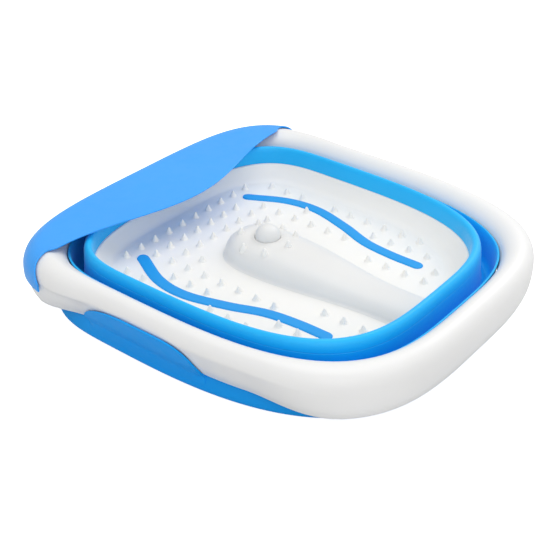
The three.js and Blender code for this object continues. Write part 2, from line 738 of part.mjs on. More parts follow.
// The guard's path over the rim at one corner of the rim's ring.
function guardPathAt(segment) {
  const frame = rimFrame((segment / RING_SEGMENTS) * 2 * Math.PI);
  const outer = [...rimCrown(frame.start.y).slice(2), [1, 42]].reverse();
  const profile = outer.map(([across, z]) => [across * frame.width, z]);
  return shifted(profile, -GUARD_STAND_OFF).map((point) => inFrame(frame, point));
}

function guardStation(position) {
  const fromMiddle = Math.abs(position - RING_SEGMENTS / 4);
  const after = guardPathAt(Math.ceil(position));
  const path = guardPathAt(Math.floor(position)).map((p, i) => p.lerp(after[i], position % 1));
  const tipDistance = RING_SEGMENTS / 4 - GUARD_TIP;
  const shoulderDistance = RING_SEGMENTS / 4 - GUARD_SHOULDER;
  const reach = (tipDistance - fromMiddle) / (tipDistance - shoulderDistance);
  const spanned = THREE.MathUtils.clamp(reach, GUARD_TIP_SPAN, 1);
  const fine = spread(path, GUARD_FINE_STEPS);
  const last = Math.round((GUARD_FINE_STEPS - 1) * spanned);
  const lipStart = fine[last];
  const edge = guardInnerEdge(lipStart.x);
  if (spanned < 1) {
    edge.copy(lipStart).sub(fine[last - 1]).setLength(GUARD_LEAST_LIP).add(lipStart);
  } else if (lipStart.y - edge.y < GUARD_LEAST_LIP) {
    edge.set(lipStart.x, lipStart.y - GUARD_LEAST_LIP, lipStart.z);
  }
  const points = spread(fine.slice(0, last + 1), GUARD_COLUMNS - GUARD_LIP_COLUMNS);
  for (let i = 1; i <= GUARD_LIP_COLUMNS; i += 1) {
    points.push(lipStart.clone().lerp(edge, i / GUARD_LIP_COLUMNS));
  }
  return points;
}

function splashGuard() {
  const positions = [];
  for (let i = 0; i < GUARD_TIP_STEPS; i += 1) {
    positions.push(GUARD_TIP + ((GUARD_SHOULDER - GUARD_TIP) * i) / GUARD_TIP_STEPS);
  }
  const mirrored = positions.map((position) => RING_SEGMENTS / 2 - position).reverse();
  for (let segment = GUARD_SHOULDER; segment <= RING_SEGMENTS / 2 - GUARD_SHOULDER; segment += 1) {
    positions.push(segment);
  }
  const shell = sheet([...positions, ...mirrored].map(guardStation), GUARD_WALL);
  const clearedRim = ringSolid((turn, width) => shifted(rimProfile(turn, width), GAP), RIM_WALL);
  return cut(shell, clearedRim);
}

addPiece('splash_guard', splashGuard(), SKY);

// ---------------------------------------------------------------- toe button
const FLANGE_LOW_Z = 43;
const FLANGE_TOP_Z = 44.8;
const SEAL_TOP_Z = 46.2;
const FLANGE_RADIUS = 13.8;
const SEAL_RADIUS = 14.2;
const CAGE_TOP_Z = 27;
const PLUNGER_RADIUS = 2.4;
const PLUNGER_TIP_Z = 21.6;
const SWITCH_TOP_Z = 17;
const ACTUATOR_TOP_Z = 18.8;

function toeButtonCap() {
  const profile = [[0, FLANGE_LOW_Z], [FLANGE_RADIUS, FLANGE_LOW_Z], [FLANGE_RADIUS, FLANGE_TOP_Z],
    [BUTTON_RADIUS, FLANGE_TOP_Z], [BUTTON_RADIUS, FLOOR_Z + MOUND_HEIGHT]];
  for (let i = 1; i < 6; i += 1) {
    const turn = (i / 6) * (Math.PI / 2);
    profile.push([BUTTON_RADIUS * Math.cos(turn), FLOOR_Z + MOUND_HEIGHT + BUTTON_RISE * Math.sin(turn)]);
  }
  profile.push([0, FLOOR_Z + MOUND_HEIGHT + BUTTON_RISE]);
  return moved(turned(profile, 24), 0, BUTTON_Y);
}

function buttonPlunger() {
  return moved(rod(PLUNGER_RADIUS, PLUNGER_TIP_Z, FLANGE_LOW_Z - 0.1, 16), 0, BUTTON_Y);
}

function buttonSeal() {
  const inner = BUTTON_RADIUS + GAP;
  const low = FLANGE_TOP_Z + GAP;
  const profile = [[inner, low], [SEAL_RADIUS, low], [SEAL_RADIUS, SEAL_TOP_Z - 0.8],
    [SEAL_RADIUS - 0.8, SEAL_TOP_Z], [inner, SEAL_TOP_Z], [inner, low]];
  return moved(turned(profile, 20), 0, BUTTON_Y);
}

function buttonSpring() {
  const low = CAGE_TOP_Z + 0.9;
  const high = FLANGE_LOW_Z - 0.9;
  const points = [];
  for (let i = 0; i <= 24; i += 1) {
    const turn = (i / 24) * 2 * Math.PI * 3;
    const z = THREE.MathUtils.lerp(low, high, i / 24);
    points.push(new THREE.Vector3(5 * Math.cos(turn), BUTTON_Y + 5 * Math.sin(turn), z));
  }
  const wire = new THREE.Shape();
  wire.absarc(0, 0, 0.5, 0, 2 * Math.PI, false);
  const path = new THREE.CatmullRomCurve3(points);
  const geometry = new THREE.ExtrudeGeometry(wire, { steps: 48, extrudePath: path, curveSegments: 2 });
  return fromSolid(toSolid(geometry));
}

function switchCage() {
  const outer = block(28, 15, COVER_TOP_Z + GAP, CAGE_TOP_Z);
  const room = block(22, 20, 8, CAGE_TOP_Z - 2);
  const bore = rod(PLUNGER_RADIUS + GAP, 20, 30, 16);
  return moved(cut(outer, room, bore), 0, BUTTON_Y);
}

function microSwitch() {
  const body = block(19.8, 6.4, 8.3, SWITCH_TOP_Z);
  const actuator = rod(1.3, SWITCH_TOP_Z - 0.5, ACTUATOR_TOP_Z, 12);
  return moved(joined(body, actuator), 0, BUTTON_Y);
}

addPiece('toe_button_cap', toeButtonCap(), WHITE);
addPiece('toe_button_plunger', buttonPlunger(), DARK_PLASTIC);
addPiece('toe_button_seal', buttonSeal(), RUBBER);
addPiece('toe_button_spring', buttonSpring(), STEEL);
addPiece('switch_cage', switchCage(), DARK_PLASTIC);
addPiece('micro_switch', microSwitch(), DARK_PLASTIC);

// ---------------------------------------------------------------- vibration motor
const MOTOR_Y = -52;
const MOTOR_Z = 20.4;
const MOTOR_RADIUS = 9;
const MOTOR_LENGTH = 26;
const MOTOR_FRONT = 11;
const SHAFT_RADIUS = 1;
const WEIGHT_RADIUS = 7.6;
const MOTOR_FOOT_X = 12;

// Turns a shape made along Z so that it lies along Y on the motor's axis.
function alongY(geometry) {
  geometry.rotateX(-Math.PI / 2);
  return moved(geometry, 0, MOTOR_Y, MOTOR_Z);
}

function motorCan() {
  const back = MOTOR_FRONT - MOTOR_LENGTH;
  const can = turned([[0, back], [MOTOR_RADIUS - 1, back], [MOTOR_RADIUS, back + 1],
    [MOTOR_RADIUS, MOTOR_FRONT - 1], [MOTOR_RADIUS - 1, MOTOR_FRONT], [0, MOTOR_FRONT]], 24);
  return alongY(cut(can, rod(SHAFT_RADIUS + 0.4, 4, 14, 12)));
}

function motorBracket() {
  const plate = moved(block(34, 26, 9, 10.6), 0, MOTOR_Y - 2);
  const cheeks = [-11, 7].map((y) => moved(block(24, 2, 10, 24), 0, MOTOR_Y + y));
  const room = alongY(rod(MOTOR_RADIUS + GAP, -20, 20, 24));
  return cut(joined(plate, ...cheeks), room);
}

function eccentricWeight() {
  const disc = rod(WEIGHT_RADIUS, 13.5, 21, 20);
  const half = moved(block(20, 10, 12, 22), 0, 6.2);
  const bore = rod(SHAFT_RADIUS + 0.1, 12, 22, 12);
  const hub = rod(3, 13.5, 21, 16);
  return alongY(cut(joined(cut(disc, half), hub), bore));
}

addPiece('vibration_motor', motorCan(), STEEL);
addPiece('motor_bracket', motorBracket(), STEEL);
addPiece('motor_shaft', alongY(rod(SHAFT_RADIUS, 5, 23, 12)), STEEL);
addPiece('eccentric_weight', eccentricWeight(), BRASS);
[-MOTOR_FOOT_X, MOTOR_FOOT_X].forEach((x, i) => {
  const mount = moved(rod(4, COVER_TOP_Z + GAP, 8.7, 16), x, MOTOR_Y - 2);
  addPiece(`motor_rubber_mount_${i + 1}`, mount, RUBBER);
});

// ---------------------------------------------------------------- heating and control
const HEATER_X = 76;
const HEATER_LOW_Z = 25.4;
const BOARD_LOW_Z = 10;
const BOARD_TOP_Z = 11.6;
const BOARD_POSTS = [[-22, -33], [22, -33], [-22, 33], [22, 33]];

function heaterPlate(side) {
  return moved(block(52, 150, HEATER_LOW_Z, HEATER_LOW_Z + 1.8), side * HEATER_X, -8);
}

function thermostat() {
  const top = HEATER_LOW_Z - GAP;
  return turned([[0, 18], [6, 18], [6, 21], [8.2, 21], [8.2, top], [0, top]], 20);
}

addPiece('heater_plate_left', heaterPlate(-1), ALUMINIUM);
addPiece('heater_plate_right', heaterPlate(1), ALUMINIUM);
addPiece('thermostat', moved(thermostat(), HEATER_X, 10), DARK_PLASTIC);
addPiece('thermal_fuse', moved(block(5, 18, 20.6, HEATER_LOW_Z - GAP), HEATER_X, -42), BRASS);

function controlBoard() {
  const board = block(54, 76, BOARD_LOW_Z, BOARD_TOP_Z);
  const posts = BOARD_POSTS.map(([x, y]) => moved(rod(2.6, COVER_TOP_Z + GAP, BOARD_LOW_Z + 0.4, 12), x, y));
  return moved(joined(board, ...posts), -HEATER_X, -12);
}

addPiece('control_board', controlBoard(), BOARD_GREEN);
addPiece('heater_relay', moved(block(15, 19, BOARD_TOP_Z + 0.2, 23), 12 - HEATER_X, -28), DARK_PLASTIC);
addPiece('supply_capacitor', moved(block(8, 18, BOARD_TOP_Z + 0.2, 22), -14 - HEATER_X, 4), DARK_PLASTIC);

// ---------------------------------------------------------------- origin
// The origin is the centre of the footprint, on the floor.
const extent = new THREE.Box3().setFromObject(part);
const middle = extent.getCenter(new THREE.Vector3());
part.children.forEach((piece) => piece.geometry.translate(-middle.x, -middle.y, -extent.min.z));

export default part;
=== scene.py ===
import math

import bpy
import numpy as np
from mathutils import Matrix, Vector


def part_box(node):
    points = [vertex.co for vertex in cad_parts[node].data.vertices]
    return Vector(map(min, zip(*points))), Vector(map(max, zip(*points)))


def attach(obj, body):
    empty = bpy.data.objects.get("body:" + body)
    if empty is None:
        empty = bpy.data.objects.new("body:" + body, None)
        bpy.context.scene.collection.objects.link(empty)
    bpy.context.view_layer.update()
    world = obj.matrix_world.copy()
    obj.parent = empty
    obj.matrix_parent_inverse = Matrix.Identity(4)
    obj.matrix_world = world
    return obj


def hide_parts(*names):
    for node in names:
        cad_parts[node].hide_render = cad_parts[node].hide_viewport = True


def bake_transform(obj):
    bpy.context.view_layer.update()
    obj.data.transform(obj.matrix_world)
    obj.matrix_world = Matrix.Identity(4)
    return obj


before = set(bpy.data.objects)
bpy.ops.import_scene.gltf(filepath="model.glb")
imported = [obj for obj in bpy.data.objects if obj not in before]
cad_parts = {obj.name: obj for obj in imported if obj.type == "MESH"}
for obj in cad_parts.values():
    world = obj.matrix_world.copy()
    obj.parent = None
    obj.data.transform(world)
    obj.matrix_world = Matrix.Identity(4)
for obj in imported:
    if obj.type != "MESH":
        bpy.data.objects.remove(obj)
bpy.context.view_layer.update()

# Shapes are worked out in millimetres and placed in metres. Their y counts from the middle of the cone field.
# SHIFT_Y moves them to the frame, whose origin is the middle of the object's box.
MM = 0.001
SHIFT_Y = 8.2
WIDEST_Y = 50.0
AROUND = 288

# Turned shapes and the mound's toe end stop this short of closing.
NEARLY_NOTHING = 0.05

# Plan outlines: half width, reach to the toe end, reach to the heel end, squareness of each end.
TRAY_EDGE = (132, 139, 147, 3.2, 3.5)
TRAY_FLOOR = (116, 129, 132, 3.4, 3.4)
RIM_CREST = (152, 161, 175, 3.5, 3.5)
RIM_BARREL = (178, 179, 198, 4.3, 3.5)
BASE_FOOT = (161, 166, 183, 3.6, 2.9)

# Moulding walls.
RIM_WALL = 2.5
GUARD_WALL = 1.6
TAB_WALL = 1.9
FOLD_SKIN = 1.6

# Rim section, as shares from the crest outline to the barrel outline, and heights.
RIM_INNER_WALL = [(-0.1, 33), (-0.12, 44), (-0.06, 52)]
SIDE_CROWN = [(0.03, 57.5), (0.2, 62), (0.4, 64.5), (0.6, 63.4), (0.73, 60.6), (0.81, 57.2), (0.86, 53.5)]
END_CROWN = [(0.03, 57.5), (0.2, 62), (0.42, 64.5), (0.66, 63.5), (0.85, 60), (0.96, 54.5), (1, 48.5)]
SIDE_UNDERSIDE = [(0.72, 45), (0.52, 33), (0.28, 22.6)]
END_UNDERSIDE = [(1, 40), (0.96, 31), (0.86, 24)]

# Where along the object the side sections turn into the end sections: towards the toe, and towards the heel.
CROWN_TURNS_TOE = (50, 104)
CROWN_TURNS_HEEL = (85, 165)
UNDERSIDE_TURNS_TOE = (84, 132)
UNDERSIDE_TURNS_HEEL = (92, 164)

# Folding wall section, as shares from the tray edge to the rim crest, and heights.
FOLD_INNER = [(0.05, 45.7), (0.055, 50), (0.065, 55), (0.085, 58.6), (0.13, 61), (0.2, 61.9), (0.27, 61.5),
              (0.335, 59.4), (0.37, 56), (0.385, 52)]
FOLD_MIDDLE = [(0.385, 52), (0.4, 46), (0.42, 38), (0.445, 31), (0.48, 27), (0.535, 25.4)]
FOLD_OUTER = [(0.535, 25.4), (0.61, 25.4), (0.67, 26.8), (0.71, 29.6), (0.73, 34), (0.74, 44), (0.76, 50),
              (0.8, 53.5)]
FOLD_SHOULDER_Z = 52.0
FOLD_FOLLOWS_RIM = (0.6, 0.75)

# Tray section, as shares from the floor outline to the edge outline, and heights.
FLOOR_Z = 30.0
TRAY_SLOPE = [(-0.3, 30), (-0.1, 30), (0.06, 30.05), (0.24, 30.9), (0.44, 32.9), (0.62, 36), (0.76, 39),
              (0.88, 42.1), (0.97, 44.7)]
TRAY_LIP = [(1.0, 45.3), (1.05, 45.5), (1.21, 45.5), (1.22, 44.8), (1.2, 43.7), (1.05, 43.4)]
TRAY_UNDER = [(0.95, 41.3), (0.7, 34.6), (0.3, 28.9), (0, 27.8)]
TRAY_CENTRE_Y = 30.0

# Cones of the tray floor: their grid, the room left free of them, and their section as radius and height.
CONE_PITCH_X = 18.2
CONE_PITCH_Y = 19.07
CONE_FIELD_X = 2.0
CONE_COLUMNS = 12
CONE_ROWS = 13
CONE_CLEAR_AT_TOE = 10
CONE_CLEAR_AT_SIDE = 18
CONE_TOE_Y = 42
CONE_CLEAR_BEYOND_MOUND = 6
CONE_CLEAR_OF_SLOPE = 2
CONE_STEPS = 18
CONE_PROFILE = [(4.0, -0.1), (3.4, 0.12), (2.95, 0.6), (2.5, 1.5), (2.0, 2.8), (1.5, 4.1), (1.15, 5.0),
                (0.8, 5.6), (0.4, 5.9), (0.05, 6.0)]

# Central mound and toe button.
MOUND_TOE_Y = 58.0
MOUND_HEEL_Y = -139.0
MOUND_WIDE_Y = 8.0
MOUND_HALF_WIDTH = 34.0
MOUND_HEEL_HALF_WIDTH = 21.0
MOUND_CREST_Y = 32.0
MOUND_HEIGHT = 20.0
MOUND_HEEL_HEIGHT = 13.0
MOUND_NARROWS_OVER = 125
MOUND_LOWERS_OVER = 110
MOUND_FOOT = [(3.4, -0.12), (1.9, 0.12), (0.8, 0.6)]
MOUND_STATIONS = 150
BUTTON_Y = 18.0
BUTTON_RADIUS = 11.4
BUTTON_RISE = 11.0
BUTTON_HOLE_MARGIN = 1.5
BUTTON_WELL = [(0.3, 2.8), (0.3, 0.5), (0.65, 0.05), (1.5, -0.06), (2.9, -0.05), (3.9, 0.08)]
FLANGE_LOW_Z = 43.0
FLANGE_TOP_Z = 44.8
FLANGE_RADIUS = 13.8
SPRING_LOW_Z = 27.9
SPRING_TOP_Z = 42.1
SPRING_RADIUS = 5.0
SPRING_WIRE = 0.5
SPRING_COILS = 3
RING_CONES = 7
RING_CONE_RADIUS = 25.0
RING_CONE_START = 3.71
RING_CONE_WIDTH = 1.12
RING_CONE_SINK = 0.3
RING_CONE_FOOT_Z = 0.3
RING_CONE_ROOT = 2.5

# Soft strips.
STRIP_PATH = [(73, 101), (90, 66), (93.5, 33), (84, -5), (72, -38), (68, -68), (67.5, -95)]
STRIP_HALF_WIDTH = 5.6
STRIP_STATIONS = 180
STRIP_HEIGHT = 1.15
STRIP_LIFT = 0.08
STRIP_ROOT = 0.2
STRIP_CLEAR = 9.2

# Splash guard: its ends as turns of the plan outlines, and its inner edge.
GUARD_TIP_TURN = math.radians(27.9)
GUARD_SHOULDER_TURN = math.radians(36)
GUARD_STAND_OFF = 1.0
GUARD_EDGE_Y = 97.0
GUARD_EDGE_RISE = 28.0
GUARD_EDGE_HALF_SPAN = 150.0
GUARD_EDGE_NARROWING = 0.97
GUARD_EDGE_Z = 66.0
GUARD_LOW_EDGE = (1, 42)
GUARD_LIP = 1.8
GUARD_LIP_START = 0.85
GUARD_TIP_SHARE = 0.12
GUARD_STEPS = 60
GUARD_TURNS = 260

# Finger tabs on the long sides of the base.
TAB_MIDDLE_Y = 15.0
TAB_TOE_LENGTH = 64.0
TAB_HEEL_LENGTH = 60.0
TAB_TOE_POWER = 2.0
TAB_HEEL_POWER = 6.0
TAB_TOP_Z = 52.4
TAB_LOW_Z = 23.2
TAB_CLEAR = 1.0
TAB_SOFTNESS = 0.6
TAB_STATIONS = 90

# Base and cover: distances out from the foot outline, or the tray's edge for the collar, and heights.
SKIRT_SIDE = [(-3.2, 3.3), (-1.5, 4), (-0.4, 5.6), (0, 8), (-0.7, 12), (-1.6, 15.5), (-3.0, 19.6),
              (-3.9, 21.4), (-5.0, 22)]
SKIRT_SHELF = (-7, 22.05)
SKIRT_COLLAR = [(6, 22.05), (4.6, 22.6), (4.2, 24), (4.2, 41.2), (3.8, 41.8), (2.4, 41.8), (2.2, 20)]
SKIRT_INSIDE = [(-6.2, 19.8), (-3.8, 14), (-4.6, 5), (-4.6, 3.2)]
COVER_INSET = 4.9
COVER_SECTION = [(-0.2, 5.2), (0, 4.8), (0, 3.7), (-0.5, 3.2), (-14, 3.2), (-14.6, 3.6), (-40, 3.6)]
COVER_CENTRE = (0, 30, 3.6)

# Small fittings, as radius and height; the gland's ribs step down along its tail.
FOOT_PROFILE = [(0.05, 0.35), (4.6, 0.35), (5.2, 0.05), (5.8, 0.0), (7.8, 0.0), (8.5, 0.2), (8.9, 0.8),
                (9, 3.1), (0.05, 3.1)]
SCREW_HEAD = [(0.05, 0.8), (0.9, 0.75), (1.0, 0.12), (1.6, 0.0), (2.5, 0.12), (2.95, 0.5), (3.0, 1.0),
              (1.5, 1.3)]
SCREW_SHANK_RADIUS = 1.5
SCREW_POINT = 1.4
RECESS_LONG = 1.9
RECESS_SHORT = 0.55
GLAND_BODY = [(0.05, 0), (4.6, 0), (4.9, 7), (7.0, 7.6), (7.0, 8.8)]
GLAND_RIBS = 4
GLAND_RIB_START = 9.4
GLAND_RIB_PITCH = 1.6
GLAND_MOUTH = [(4.2, 0), (2.2, 0), (2.0, -3), (0.05, -3)]
HIDDEN_EDGE_ROUND = 0.25
HIDDEN_EDGE_ANGLE = math.radians(40)

# Studio, in metres and watts. The floor and the world are white to the camera and dimmer to the object.
FLOOR_SIZE = 40
FLOOR_GREY = 0.75
FLOOR_GLOW = 0.85
WORLD_STRENGTH = 0.68
WORLD_EXTRA_FOR_CAMERA = 0.32
LIGHTS = {
    "key": ((1.2, -0.25, 1.1), 0.9, 6),
    "top": ((0.1, 0.1, 1.9), 1.6, 10),
    "front": ((-1.15, -1.05, 0.85), 1.3, 5),
}
CAMERA_PLACE = (-0.627, -0.488 + SHIFT_Y * MM, 0.522)
CAMERA_RIGHT = (0.6219, -0.7831, 0.0)
CAMERA_UP = (0.4205, 0.3340, 0.8436)
CAMERA_BACK = (-0.6606, -0.5246, 0.5370)
CAMERA_LENS = 69.4
CAMERA_SENSOR = 36


# ---------------------------------------------------------------- lines and outlines
def outline_xy(outline, turn):
    """The outline's point at a turn about its widest line's middle."""
    half, toe, heel, toe_power, heel_power = outline
    along, across = np.sin(turn), np.cos(turn)
    power = np.where(along > 0, toe_power, heel_power)
    reach = np.where(along > 0, toe - WIDEST_Y, heel + WIDEST_Y)
    radius = (np.abs(across) ** power + np.abs(along) ** power) ** (-1 / power)
    return np.stack([half * radius * across, WIDEST_Y + reach * radius * along], -1)


def half_width_at(outline, y):
    """Half the outline's width at a place along the object."""
    half, toe, heel, toe_power, heel_power = outline
    power = toe_power if y > WIDEST_Y else heel_power
    reach = toe - WIDEST_Y if y > WIDEST_Y else heel + WIDEST_Y
    return half * max(0.0, 1 - abs((y - WIDEST_Y) / reach) ** power) ** (1 / power)


def grow(outline, distance):
    return tuple(v + distance for v in outline[:3]) + outline[3:]


def mixed(a, b, share):
    return tuple(p + (q - p) * share for p, q in zip(a, b))


def smoothstep(value, low, high):
    t = np.clip((value - low) / (high - low), 0, 1)
    return t * t * (3 - 2 * t)


def resample(points, count):
    points = np.asarray(points, float)
    lengths = np.concatenate([[0], np.cumsum(np.linalg.norm(np.diff(points, axis=0), axis=1))])
    wanted = np.linspace(0, lengths[-1], count)
    return np.stack([np.interp(wanted, lengths, points[:, k]) for k in range(points.shape[1])], -1)


def curve(points, count):
    """A smooth line through the points, as evenly spaced samples."""
    p = np.asarray(points, float)
    p = np.vstack([2 * p[0] - p[1], p, 2 * p[-1] - p[-2]])
    samples = []
    for i in range(1, len(p) - 2):
        for t in np.linspace(0, 1, 24, endpoint=False):
            samples.append(0.5 * (2 * p[i] + (p[i + 1] - p[i - 1]) * t
                                  + (2 * p[i - 1] - 5 * p[i] + 4 * p[i + 1] - p[i + 2]) * t * t
                                  + (3 * p[i] - p[i - 1] - 3 * p[i + 1] + p[i + 2]) * t ** 3))
    samples.append(p[-2])
    return resample(samples, count)


def softened(points, passes):
    """Rounds the corners of a line, with its ends held."""
    p = np.array(points, float)
    for _ in range(passes):
        p[1:-1] = 0.25 * p[:-2] + 0.5 * p[1:-1] + 0.25 * p[2:]
    return p


def with_thickness(path, normals, wall, bead_steps=5):
    """A closed section: the path, a round edge, the path moved by the wall, and the other round edge."""
    first, last = path[0] - path[1], path[-1] - path[-2]
    turns = np.linspace(0, math.pi, bead_steps + 2)[1:-1]

    def bead(centre, normal, ahead):
        ahead = ahead / np.linalg.norm(ahead)
        return [centre - normal * wall / 2 * math.cos(t) + ahead * wall / 2 * math.sin(t) for t in turns]

    far = bead(path[-1] + normals[-1] * wall / 2, normals[-1], last)
    near = bead(path[0] + normals[0] * wall / 2, -normals[0], first)
    return np.vstack([path, far, (path + normals * wall)[::-1], near])


def line_normals(line, side):
    """Unit normals of a flat line, to its left for side 1 and to its right for side -1."""
    run = np.gradient(line, axis=0)
    normal = np.stack([-run[:, 1], run[:, 0]], -1) * side
    return normal / np.linalg.norm(normal, axis=1)[:, None]


# ---------------------------------------------------------------- meshes
def grid_faces(rows, columns, wrap_rows, wrap_columns, start=0):
    faces = []
    for i in range(rows if wrap_rows else rows - 1):
        for j in range(columns if wrap_columns else columns - 1):
            i2, j2 = (i + 1) % rows, (j + 1) % columns
            faces.append((start + i * columns + j, start + i * columns + j2, start + i2 * columns + j2,
                          start + i2 * columns + j))
    return faces


class Shape:
    """Vertices and faces in millimetres, gathered into one mesh."""

    def __init__(self):
        self.points = []
        self.faces = []

    def grid(self, grid, wrap_rows=False, wrap_columns=False, cap_rows=False, flip=False):
        grid = np.asarray(grid, float)
        rows, columns = grid.shape[:2]
        start = len(self.points)
        self.points.extend(grid.reshape(-1, 3).tolist())
        faces = grid_faces(rows, columns, wrap_rows, wrap_columns, start)
        if cap_rows:
            faces.append(tuple(start + j for j in reversed(range(columns))))
            faces.append(tuple(start + (rows - 1) * columns + j for j in range(columns)))
        self.faces.extend(tuple(reversed(f)) for f in faces) if flip else self.faces.extend(faces)
        return self

    def lathe(self, profile, centre, steps=20, cap=True):
        turns = np.linspace(0, 2 * math.pi, steps, endpoint=False)
        loops = [[(centre[0] + r * math.cos(t), centre[1] + r * math.sin(t), centre[2] + z) for t in turns]
                 for r, z in profile]
        return self.grid(loops, wrap_columns=True, cap_rows=cap)

    def make(self, name, sharp=None, outward=True):
        mesh = bpy.data.meshes.new(name)
        points = (np.asarray(self.points) + (0, SHIFT_Y, 0)) * MM
        mesh.from_pydata(points.tolist(), [], self.faces)
        mesh.validate()
        mesh.polygons.foreach_set("use_smooth", [True] * len(mesh.polygons))
        made = bpy.data.objects.new(name, mesh)
        bpy.context.scene.collection.objects.link(made)
        if outward:
            bpy.context.view_layer.objects.active = made
            made.select_set(True)
            bpy.ops.object.mode_set(mode="EDIT")
            bpy.ops.mesh.select_all(action="SELECT")
            bpy.ops.mesh.normals_make_consistent(inside=False)
            bpy.ops.object.mode_set(mode="OBJECT")
            made.select_set(False)
        if sharp is not None:
            mesh.set_sharp_from_angle(angle=math.radians(sharp))
        mesh.update()
        return made


TURNS = np.linspace(0, 2 * math.pi, AROUND, endpoint=False)


def ring(levels, turns=TURNS):
    """Rows of points round the plan, one row per (outline, height)."""
    rows = []
    for outline, z in levels:
        xy = outline_xy(outline, turns)
        rows.append(np.column_stack([xy, np.full(len(turns), float(z))]))
    return np.array(rows)


# ---------------------------------------------------------------- materials
def new_material(name):
    material = bpy.data.materials.new(name)
    material.use_nodes = True
    nodes, links = material.node_tree.nodes, material.node_tree.links
    shader = nodes["Principled BSDF"]
    return material, nodes, links, shader


def noise(nodes, links, scale, detail=3.0, roughness=0.5):
    place = nodes.new("ShaderNodeTexCoord")
    texture = nodes.new("ShaderNodeTexNoise")
    texture.inputs["Scale"].default_value = scale
    texture.inputs["Detail"].default_value = detail
    texture.inputs["Roughness"].default_value = roughness
    links.new(place.outputs["Object"], texture.inputs["Vector"])
    return texture.outputs["Fac"]


def ramp(nodes, links, fac, low, high, start=0.35, end=0.65):
    node = nodes.new("ShaderNodeMapRange")
    node.inputs["From Min"].default_value = start
    node.inputs["From Max"].default_value = end
    node.inputs["To Min"].default_value = low
    node.inputs["To Max"].default_value = high
    links.new(fac, node.inputs["Value"])
    return node.outputs["Result"]


def blended_colour(nodes, links, fac, first, second):
    node = nodes.new("ShaderNodeMix")
    node.data_type = "RGBA"
    node.inputs[6].default_value = (*first, 1)
    node.inputs[7].default_value = (*second, 1)
    links.new(fac, node.inputs[0])
    return node.outputs[2]


def bump(nodes, links, shader, heights):
    last = None
    for fac, distance, strength in heights:
        node = nodes.new("ShaderNodeBump")
        node.inputs["Distance"].default_value = distance
        node.inputs["Strength"].default_value = strength
        links.new(fac, node.inputs["Height"])
        if last is not None:
            links.new(last, node.inputs["Normal"])
        last = node.outputs["Normal"]
    links.new(last, shader.inputs["Normal"])


def moulded_plastic(name, first, second, rough_low, rough_high, grain=1400, grain_depth=0.00004, flow=0.00025,
                    specular=0.5, subsurface=0.0):
    """Injection-moulded plastic: faint flow waves, fine mould grain, and a finish that varies a little."""
    material, nodes, links, shader = new_material(name)
    broad = noise(nodes, links, 9, 4)
    fine = noise(nodes, links, grain, 2)
    waves = noise(nodes, links, 34, 2)
    links.new(blended_colour(nodes, links, ramp(nodes, links, broad, 0, 1), first, second),
              shader.inputs["Base Color"])
    smudge = noise(nodes, links, 70, 5, 0.6)
    links.new(ramp(nodes, links, smudge, rough_low, rough_high), shader.inputs["Roughness"])
    bump(nodes, links, shader, [(waves, flow, 0.25), (fine, grain_depth, 0.5)])
    shader.inputs["Specular IOR Level"].default_value = specular
    shader.inputs["IOR"].default_value = 1.49
    if subsurface:
        shader.inputs["Subsurface Weight"].default_value = subsurface
        shader.inputs["Subsurface Radius"].default_value = (0.004, 0.004, 0.005)
        shader.inputs["Subsurface Scale"].default_value = 0.5
    return material


def soft_plastic(name, first, second):
    """Thermoplastic elastomer: satin, with a soft sheen and fine dusty variation."""
    material, nodes, links, shader = new_material(name)
    broad = noise(nodes, links, 12, 4)
    dust = noise(nodes, links, 240, 5, 0.65)
    fine = noise(nodes, links, 1900, 2)
    links.new(blended_colour(nodes, links, ramp(nodes, links, broad, 0, 1), first, second),
              shader.inputs["Base Color"])
    links.new(ramp(nodes, links, dust, 0.4, 0.52), shader.inputs["Roughness"])
    bump(nodes, links, shader, [(noise(nodes, links, 45, 2), 0.0003, 0.25), (fine, 0.00005, 0.6)])
    shader.inputs["Sheen Weight"].default_value = 0.12
    shader.inputs["Sheen Roughness"].default_value = 0.4
    shader.inputs["IOR"].default_value = 1.45
    return material


def black_rubber(name):
    material, nodes, links, shader = new_material(name)
    broad = noise(nodes, links, 60, 5, 0.6)
    links.new(blended_colour(nodes, links, ramp(nodes, links, broad, 0, 1), (0.016, 0.017, 0.019),
                             (0.034, 0.035, 0.038)), shader.inputs["Base Color"])
    links.new(ramp(nodes, links, broad, 0.62, 0.85), shader.inputs["Roughness"])
    bump(nodes, links, shader, [(noise(nodes, links, 1600, 3), 0.00008, 0.7)])
    return material


def metal(name, first, second, rough_low, rough_high, brushed=True):
    """Plain metal; brushed metal has fine scratches drawn out along X."""
    material, nodes, links, shader = new_material(name)
    place = nodes.new("ShaderNodeTexCoord")
    stretch = nodes.new("ShaderNodeMapping")
    stretch.inputs["Scale"].default_value = (6, 260, 260) if brushed else (90, 90, 90)
    links.new(place.outputs["Object"], stretch.inputs["Vector"])
    texture = nodes.new("ShaderNodeTexNoise")
    texture.inputs["Scale"].default_value = 8
    texture.inputs["Detail"].default_value = 4
    links.new(stretch.outputs["Vector"], texture.inputs["Vector"])
    fac = texture.outputs["Fac"]
    links.new(blended_colour(nodes, links, ramp(nodes, links, fac, 0, 1), first, second),
              shader.inputs["Base Color"])
    links.new(ramp(nodes, links, fac, rough_low, rough_high), shader.inputs["Roughness"])
    bump(nodes, links, shader, [(fac, 0.00003, 0.4)])
    shader.inputs["Metallic"].default_value = 1
    return material


